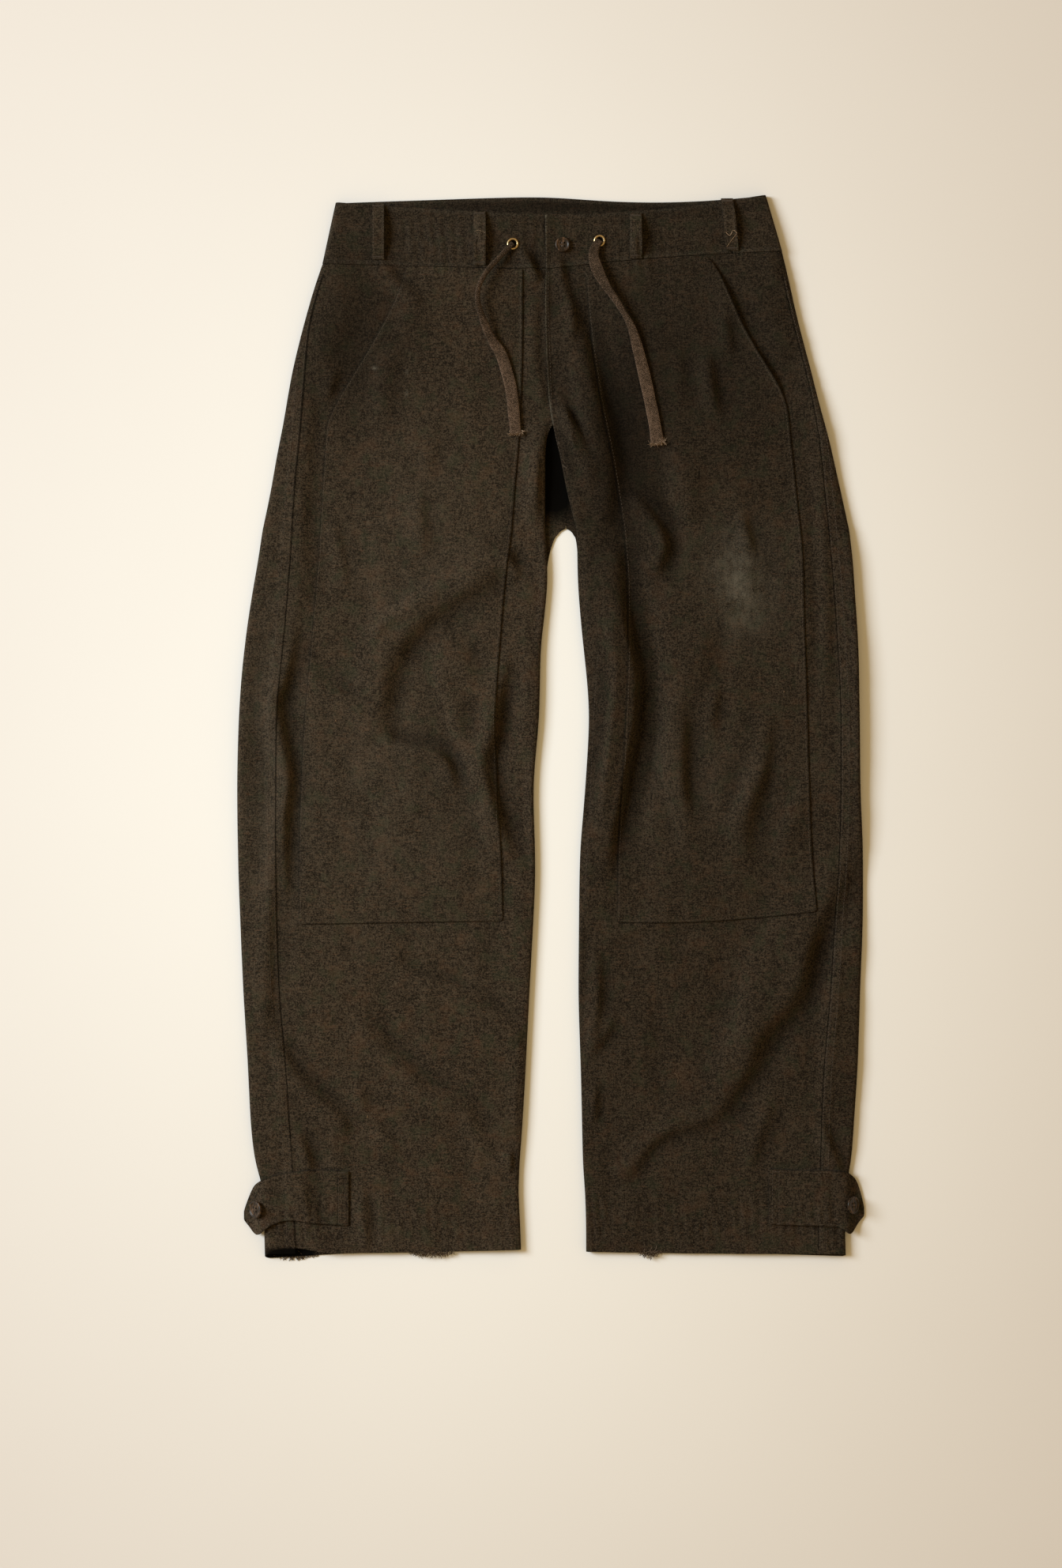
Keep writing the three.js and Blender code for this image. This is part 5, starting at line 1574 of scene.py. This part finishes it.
def stitch(parts, start, end, radius, sign):
    """One stitch: a short thread that dips into the cloth at both ends."""
    ahead = end - start
    across = ahead.cross(Vector((0, 0, 1))).normalized()
    up = Vector((0, 0, sign))
    vertices = [start - up * radius * 0.5]
    for share in (0.22, 0.78):
        middle = start + ahead * share + up * radius * 0.55
        for a, b in ((1, 0), (0, 0.9), (-1, 0), (0, -0.9)):
            vertices.append(middle + across * (a * radius) + up * (b * radius))
    vertices.append(end - up * radius * 0.5)
    faces = []
    for j in range(STITCH_SIDES):
        after = (j + 1) % STITCH_SIDES
        faces += [(0, 1 + after, 1 + j), (1 + j, 1 + after, 5 + after, 5 + j), (5 + j, 5 + after, 9)]
    if sign < 0:
        faces = [tuple(reversed(face)) for face in faces]
    parts.append((vertices, faces))


def sew(parts, surface, line, sizes):
    """Sews a row of stitches along a drawn line."""
    length = sizes.stitch_length / MM
    run = run_of(line)
    for start in np.arange(ROW_START, run[-1] - length, sizes.stitch_pitch / MM):
        ends = [surface.place(np.interp(s, run, line[:, 0]), np.interp(s, run, line[:, 1]))
                for s in (start, start + length)]
        if None in ends or abs(ends[0].z - ends[1].z) > STEEPEST_STITCH * MM:
            continue
        stitch(parts, *ends, sizes.thread_radius, -1 if surface.under else 1)


def bar_tack(parts, surface, start, end, sizes, width=1.6):
    """A short dense zigzag that holds an end."""
    line = np.array([start, end], float)
    count = max(3, int(np.linalg.norm(line[1] - line[0]) / TACK_PITCH))
    way = (line[1] - line[0]) / np.linalg.norm(line[1] - line[0])
    across = np.array([-way[1], way[0]]) * width / 2
    for k in range(count):
        middle = line[0] + (line[1] - line[0]) * (k + 0.5) / count
        ends = [surface.place(*p) for p in (middle - across + way * 0.12, middle + across - way * 0.12)]
        if None not in ends:
            stitch(parts, *ends, sizes.thread_radius * 0.9, 1)


class PANTS_OT_stitching(bpy.types.Operator):
    """Sews the seams, hems, pockets, waistband, fly, loops and tabs"""

    bl_idname = "pants.stitching"
    bl_label = "Stitching"

    def execute(self, context):
        sizes = context.scene.pants_sizes
        for side in SIDES:
            self.leg(side, sizes)
            self.tab(side, sizes)
        self.band(sizes)
        self.loops(sizes)
        self.fly(sizes)
        self.underside(sizes)
        return {"FINISHED"}

    def add(self, name, parts):
        piece = joined(name, parts)
        shade(piece, 60)
        finish_piece(piece, thread_material("thread"), "canvas")

    def leg(self, side, sizes):
        sign = SIGN[side]
        front, panel, back = (bpy.data.objects[f"{kind}_cloth_{side}"] for kind in ("front", "panel", "back"))
        cloth = Surface([front, panel, back])
        seam = smooth_line(edge_of(front, 1, OUTER[side], 12, 964, 12.0), ROW_STEP)
        inside = smooth_line(edge_of(panel, 1, INNER[side], 335, 962, 10.0), ROW_STEP)
        outside = smooth_line(edge_of(panel, 1, OUTER[side], *PANEL_REACH[side], 8.0), ROW_STEP)
        ends = sorted(sign * across for across in PANEL_FOOT[side])
        foot = smooth_line(edge_of(panel, 0, "least", *ends, 8.0), ROW_STEP)
        felled = sizes.felled_width / MM
        parts = []
        for line, shift in ((seam, -sign * SEAM_ROW), (seam, -sign * (felled - FELLED_ROW)),
                            (inside, -sign * PANEL_ROW), (outside, sign * PANEL_ROW), (foot, PANEL_ROW)):
            sew(parts, cloth, offset_line(line, shift), sizes)
        self.add(f"stitches_leg_{side}", parts)
        parts = []
        for row in (KNEE_ROWS[side], HEM_ROWS[side], *([INSEAM_ROW] if side == "left" else [])):
            sew(parts, cloth, smooth_line(row, ROW_STEP), sizes)
        self.add(f"stitches_detail_{side}", parts)

    def tab(self, side, sizes):
        tab = bpy.data.objects[f"tab_{side}"]
        cloth = Surface([tab])
        sign = SIGN[side]
        near = TAB_REACH[side][0]
        low, high = sorted(sign * across for across in TAB_REACH[side])
        bottom, top = (smooth_line(edge_of(tab, 0, pick, low, high, 6.0), ROW_STEP)
                       for pick in ("least", "most"))
        parts = []
        sew(parts, cloth, offset_line(bottom, TAB_ROW), sizes)
        sew(parts, cloth, offset_line(top, -TAB_ROW), sizes)
        for across in (near + 1.2, near + 7.6):
            sew(parts, cloth, np.array([(sign * across, 88.0), (sign * across, 38.0)]), sizes)
        for y in (float(top[:, 1].max()) - 3, float(bottom[:, 1].min()) + 9):
            bar_tack(parts, cloth, (sign * (near + 1), y), (sign * (near + 8), y), sizes)
        self.add(f"stitches_tab_{side}", parts)

    def band(self, sizes):
        cloth = Surface([bpy.data.objects[f"band_{part}"] for part in ("right", "left", "back")])
        parts = []
        for side in SIDES:
            for rise in BAND_ROWS:
                sew(parts, cloth, self.band_line(side, rise), sizes)
        slot = self.buttonhole(cloth, sizes)
        self.add("stitches_band", parts + slot)

    def band_line(self, side, rise):
        """A row along the band, some millimetres above its lower edge."""
        line = np.array(smooth_line(BAND_FOOT[side], ROW_STEP))
        share = np.clip((line[:, 1] - 967.6) / 17.0, 0, 1)
        line[:, 1] += rise * (1 + 0.01 * share)
        return line

    def buttonhole(self, cloth, sizes):
        parts = []
        y = WAIST_BUTTON_PLACE[1]
        for sign in (-1, 1):
            bar_tack(parts, cloth, (15.5, y + sign * 1.1), (24.5, y + sign * 1.1), sizes, 1.5)
        bar_tack(parts, cloth, (24.6, y - 1.9), (24.6, y + 1.9), sizes, 1.5)
        return parts

    @staticmethod
    def middle_at(co, y):
        """Halfway across the places of a strap that are near a height."""
        across = co[abs(co[:, 1] - y) < 4][:, 0]
        return (across.min() + across.max()) / 2

    def loops(self, sizes):
        parts = []
        for name in LOOPS:
            loop = bpy.data.objects[f"loop_{name}"]
            cloth = Surface([loop])
            co = drawn(places_of(loop))
            low, high = co[:, 1].min(), co[:, 1].max()
            foot, head = (self.middle_at(co, y) for y in (low, high))
            for shift in (-4.1, 4.1):
                line = np.array([(foot + shift, low + 1.0), (head + shift, high - 1.0)])
                sew(parts, cloth, smooth_line(line, ROW_STEP), sizes)
            for x, y in ((foot, low + 2.4), (head, high - 2.4)):
                bar_tack(parts, cloth, (x - 5.0, y), (x + 5.0, y), sizes, 1.8)
        self.add("stitches_loops", parts)

    def fly(self, sizes):
        cloth = Surface([bpy.data.objects[n] for n in ("front_cloth_left", "front_cloth_right",
                                                       "panel_cloth_left", "panel_cloth_right")])
        parts = []
        sew(parts, cloth, offset_line(smooth_line(FLY_ROW, ROW_STEP), 2.4), sizes)
        bar_tack(parts, cloth, (2.5, 803), (8.5, 797), sizes, 1.8)
        bar_tack(parts, cloth, (10, 777), (16, 773), sizes, 1.8)
        self.add("stitches_fly", parts)

    def underside(self, sizes):
        backs = [bpy.data.objects[f"back_cloth_{side}"] for side in SIDES] + [bpy.data.objects["band_back"]]
        cloth = Surface(backs, under=True)
        parts = []
        for row in UNDER_ROWS:
            sew(parts, cloth, smooth_line(row, ROW_STEP), sizes)
        self.add("stitches_underside", parts)


# ---- frayed cloth and lint -----------------------------------------------------------------------

# Where the hem has frayed: from x to x at a height y, how many fibres and how long.
Fray = namedtuple("Fray", "name start end y z count length")

FRAYS = (
    Fray("right_back_hem", -276, -226, 5.2, 1.0, 170, 7.0),
    Fray("right_front_hem", -139, -94, 8.4, 5.0, 230, 8.5),
    Fray("right_middle", -232, -190, 8.8, 5.0, 30, 3.0),
    Fray("left_hem", 86, 108, 9.4, 5.0, 130, 10.0),
    Fray("left_side", 258, 284, 8.6, 5.0, 16, 2.6),
)
# Loose threads: a smooth path just above the cloth.
Lint = namedtuple("Lint", "name radius path")
LINTS = (
    Lint("side_loop_a", 0.2, ((168, 1004), (174, 999), (177, 1004), (181, 1001), (184, 996))),
    Lint("side_loop_b", 0.2, ((181, 1001), (176, 995), (171, 988))),
    Lint("thigh_speck", 0.35, ((-210.4, 528.6), (-209.4, 527.4), (-208.7, 526.0))),
    Lint("calf_speck", 0.4, ((-178.8, 143.6), (-178.5, 141.6), (-178.7, 139.9))),
    Lint("side_speck", 0.4, ((227.1, 557.2), (227.3, 555.8), (226.8, 554.6))),
    Lint("band_hair", 0.07, ((-76, 1001), (-71, 1004), (-65, 1002), (-60, 998))),
    Lint("tab_hair", 0.09, ((120, 185), (124, 180), (123, 174))),
)


class PANTS_OT_frays(bpy.types.Operator):
    """Adds the frayed fibres of the hems and a few loose threads"""

    bl_idname = "pants.frays"
    bl_label = "Frays and lint"

    def execute(self, context):
        radius = context.scene.pants_sizes.fibre_radius
        draw = random.Random(41)
        for fray in FRAYS:
            parts = []
            for _ in range(fray.count):
                share = draw.betavariate(1.6, 1.6)
                x = fray.start + (fray.end - fray.start) * share
                full = 0.35 + 0.65 * math.sin(math.pi * share)
                start = at(x, fray.y + draw.uniform(0.0, 1.5), fray.z * draw.uniform(0.6, 1.2))
                length = fray.length * full * draw.uniform(0.35, 1.0) * MM
                heading = -math.pi / 2 + draw.gauss(0, 0.8)
                points = curled(start, heading, length, 3.0, -2.0 * MM, draw, 5)
                fibre(parts, points, radius * draw.uniform(1.1, 2.1))
            finish_piece(joined(f"fray_{fray.name}", parts), thread_material("fibre"), "canvas")
        cloth = Surface([o for o in bpy.data.objects if o.name.startswith(("front_cloth", "panel_cloth",
                                                                          "back_cloth", "band_", "loop_"))])
        pale = []
        for lint in LINTS:
            points = []
            for x, y in smooth_line(lint.path, 1.2):
                z = cloth.height(x, y)
                points.append(Vector((*at(x, y)[:2], (z or 0.008) + lint.radius * MM)))
            fibre(pale, points, lint.radius * MM)
        finish_piece(joined("lint", pale), thread_material("lint"), "canvas")
        return {"FINISHED"}


# ---- stage ---------------------------------------------------------------------------------------

FLOOR_HALF = 2.6
FLOOR_DROP = 0.0002
KEY_PLACE = (-4.2, 1.25, 3.25)
KEY_SIZE = (1.9, 2.6)
KEY_COLOUR = (0.89, 0.969, 1.0)
SKY_COLOUR = (1.0, 0.689, 0.311, 1.0)


def add_light(name, place, power, size, colour):
    """A soft light that looks at the middle of the garment."""
    data = bpy.data.lights.new(name, "AREA")
    data.energy = power
    data.shape = "RECTANGLE"
    data.size, data.size_y = size
    data.color = colour
    light = new_piece(name, data)
    light.location = place
    light.rotation_euler = (-Vector(place)).to_track_quat("-Z", "Y").to_euler()


class PANTS_OT_stage(bpy.types.Operator):
    """Sets the floor, with its painted pool of light, and the soft light from the upper left"""

    bl_idname = "pants.stage"
    bl_label = "Stage"

    def execute(self, context):
        studio = context.scene.pants_studio
        corners = [(-FLOOR_HALF, -FLOOR_HALF), (FLOOR_HALF, -FLOOR_HALF), (FLOOR_HALF, FLOOR_HALF),
                   (-FLOOR_HALF, FLOOR_HALF)]
        floor = piece_from("studio_floor", [(x, y, -FLOOR_DROP) for x, y in corners], [(0, 1, 2, 3)])
        floor.data.materials.append(floor_material())
        add_light("key_light", KEY_PLACE, studio.key_power, KEY_SIZE, KEY_COLOUR)
        world = context.scene.world or bpy.data.worlds.new("sky")
        context.scene.world = world
        world.use_nodes = True
        background = next(n for n in world.node_tree.nodes if n.type == "BACKGROUND")
        background.inputs["Color"].default_value = SKY_COLOUR
        background.inputs["Strength"].default_value = studio.sky
        return {"FINISHED"}


# ---- panel and registration ----------------------------------------------------------------------

OPERATORS = (
    PANTS_OT_camera, PANTS_OT_drawstrings, PANTS_OT_legs, PANTS_OT_waistband, PANTS_OT_belt_loops,
    PANTS_OT_hem_tabs, PANTS_OT_eyelets, PANTS_OT_buttons, PANTS_OT_stitching, PANTS_OT_frays,
    PANTS_OT_stage,
)


class PANTS_PT_panel(bpy.types.Panel):
    """The pieces of the work pants"""

    bl_idname = "PANTS_PT_panel"
    bl_label = "Work Pants"
    bl_space_type = "VIEW_3D"
    bl_region_type = "UI"
    bl_category = "Work Pants"

    def draw(self, context):
        for group in ("pants_sizes", "pants_colours", "pants_studio"):
            settings = getattr(context.scene, group)
            box = self.layout.box()
            for name in settings.__annotations__:
                box.prop(settings, name)
        for operator in OPERATORS:
            self.layout.operator(operator.bl_idname)


CLASSES = (PantsSizes, PantsColours, PantsStudio, *OPERATORS, PANTS_PT_panel)


def register():
    for one in CLASSES:
        bpy.utils.register_class(one)
    bpy.types.Scene.pants_sizes = bpy.props.PointerProperty(type=PantsSizes)
    bpy.types.Scene.pants_colours = bpy.props.PointerProperty(type=PantsColours)
    bpy.types.Scene.pants_studio = bpy.props.PointerProperty(type=PantsStudio)


def unregister():
    for name in ("pants_sizes", "pants_colours", "pants_studio"):
        delattr(bpy.types.Scene, name)
    for one in reversed(CLASSES):
        bpy.utils.unregister_class(one)


def main():
    register()
    for operator in OPERATORS:
        group, name = operator.bl_idname.split(".")
        if getattr(getattr(bpy.ops, group), name)() != {"FINISHED"}:
            raise RuntimeError(f"{operator.bl_label} did not finish")


if __name__ == "__main__":
    main()
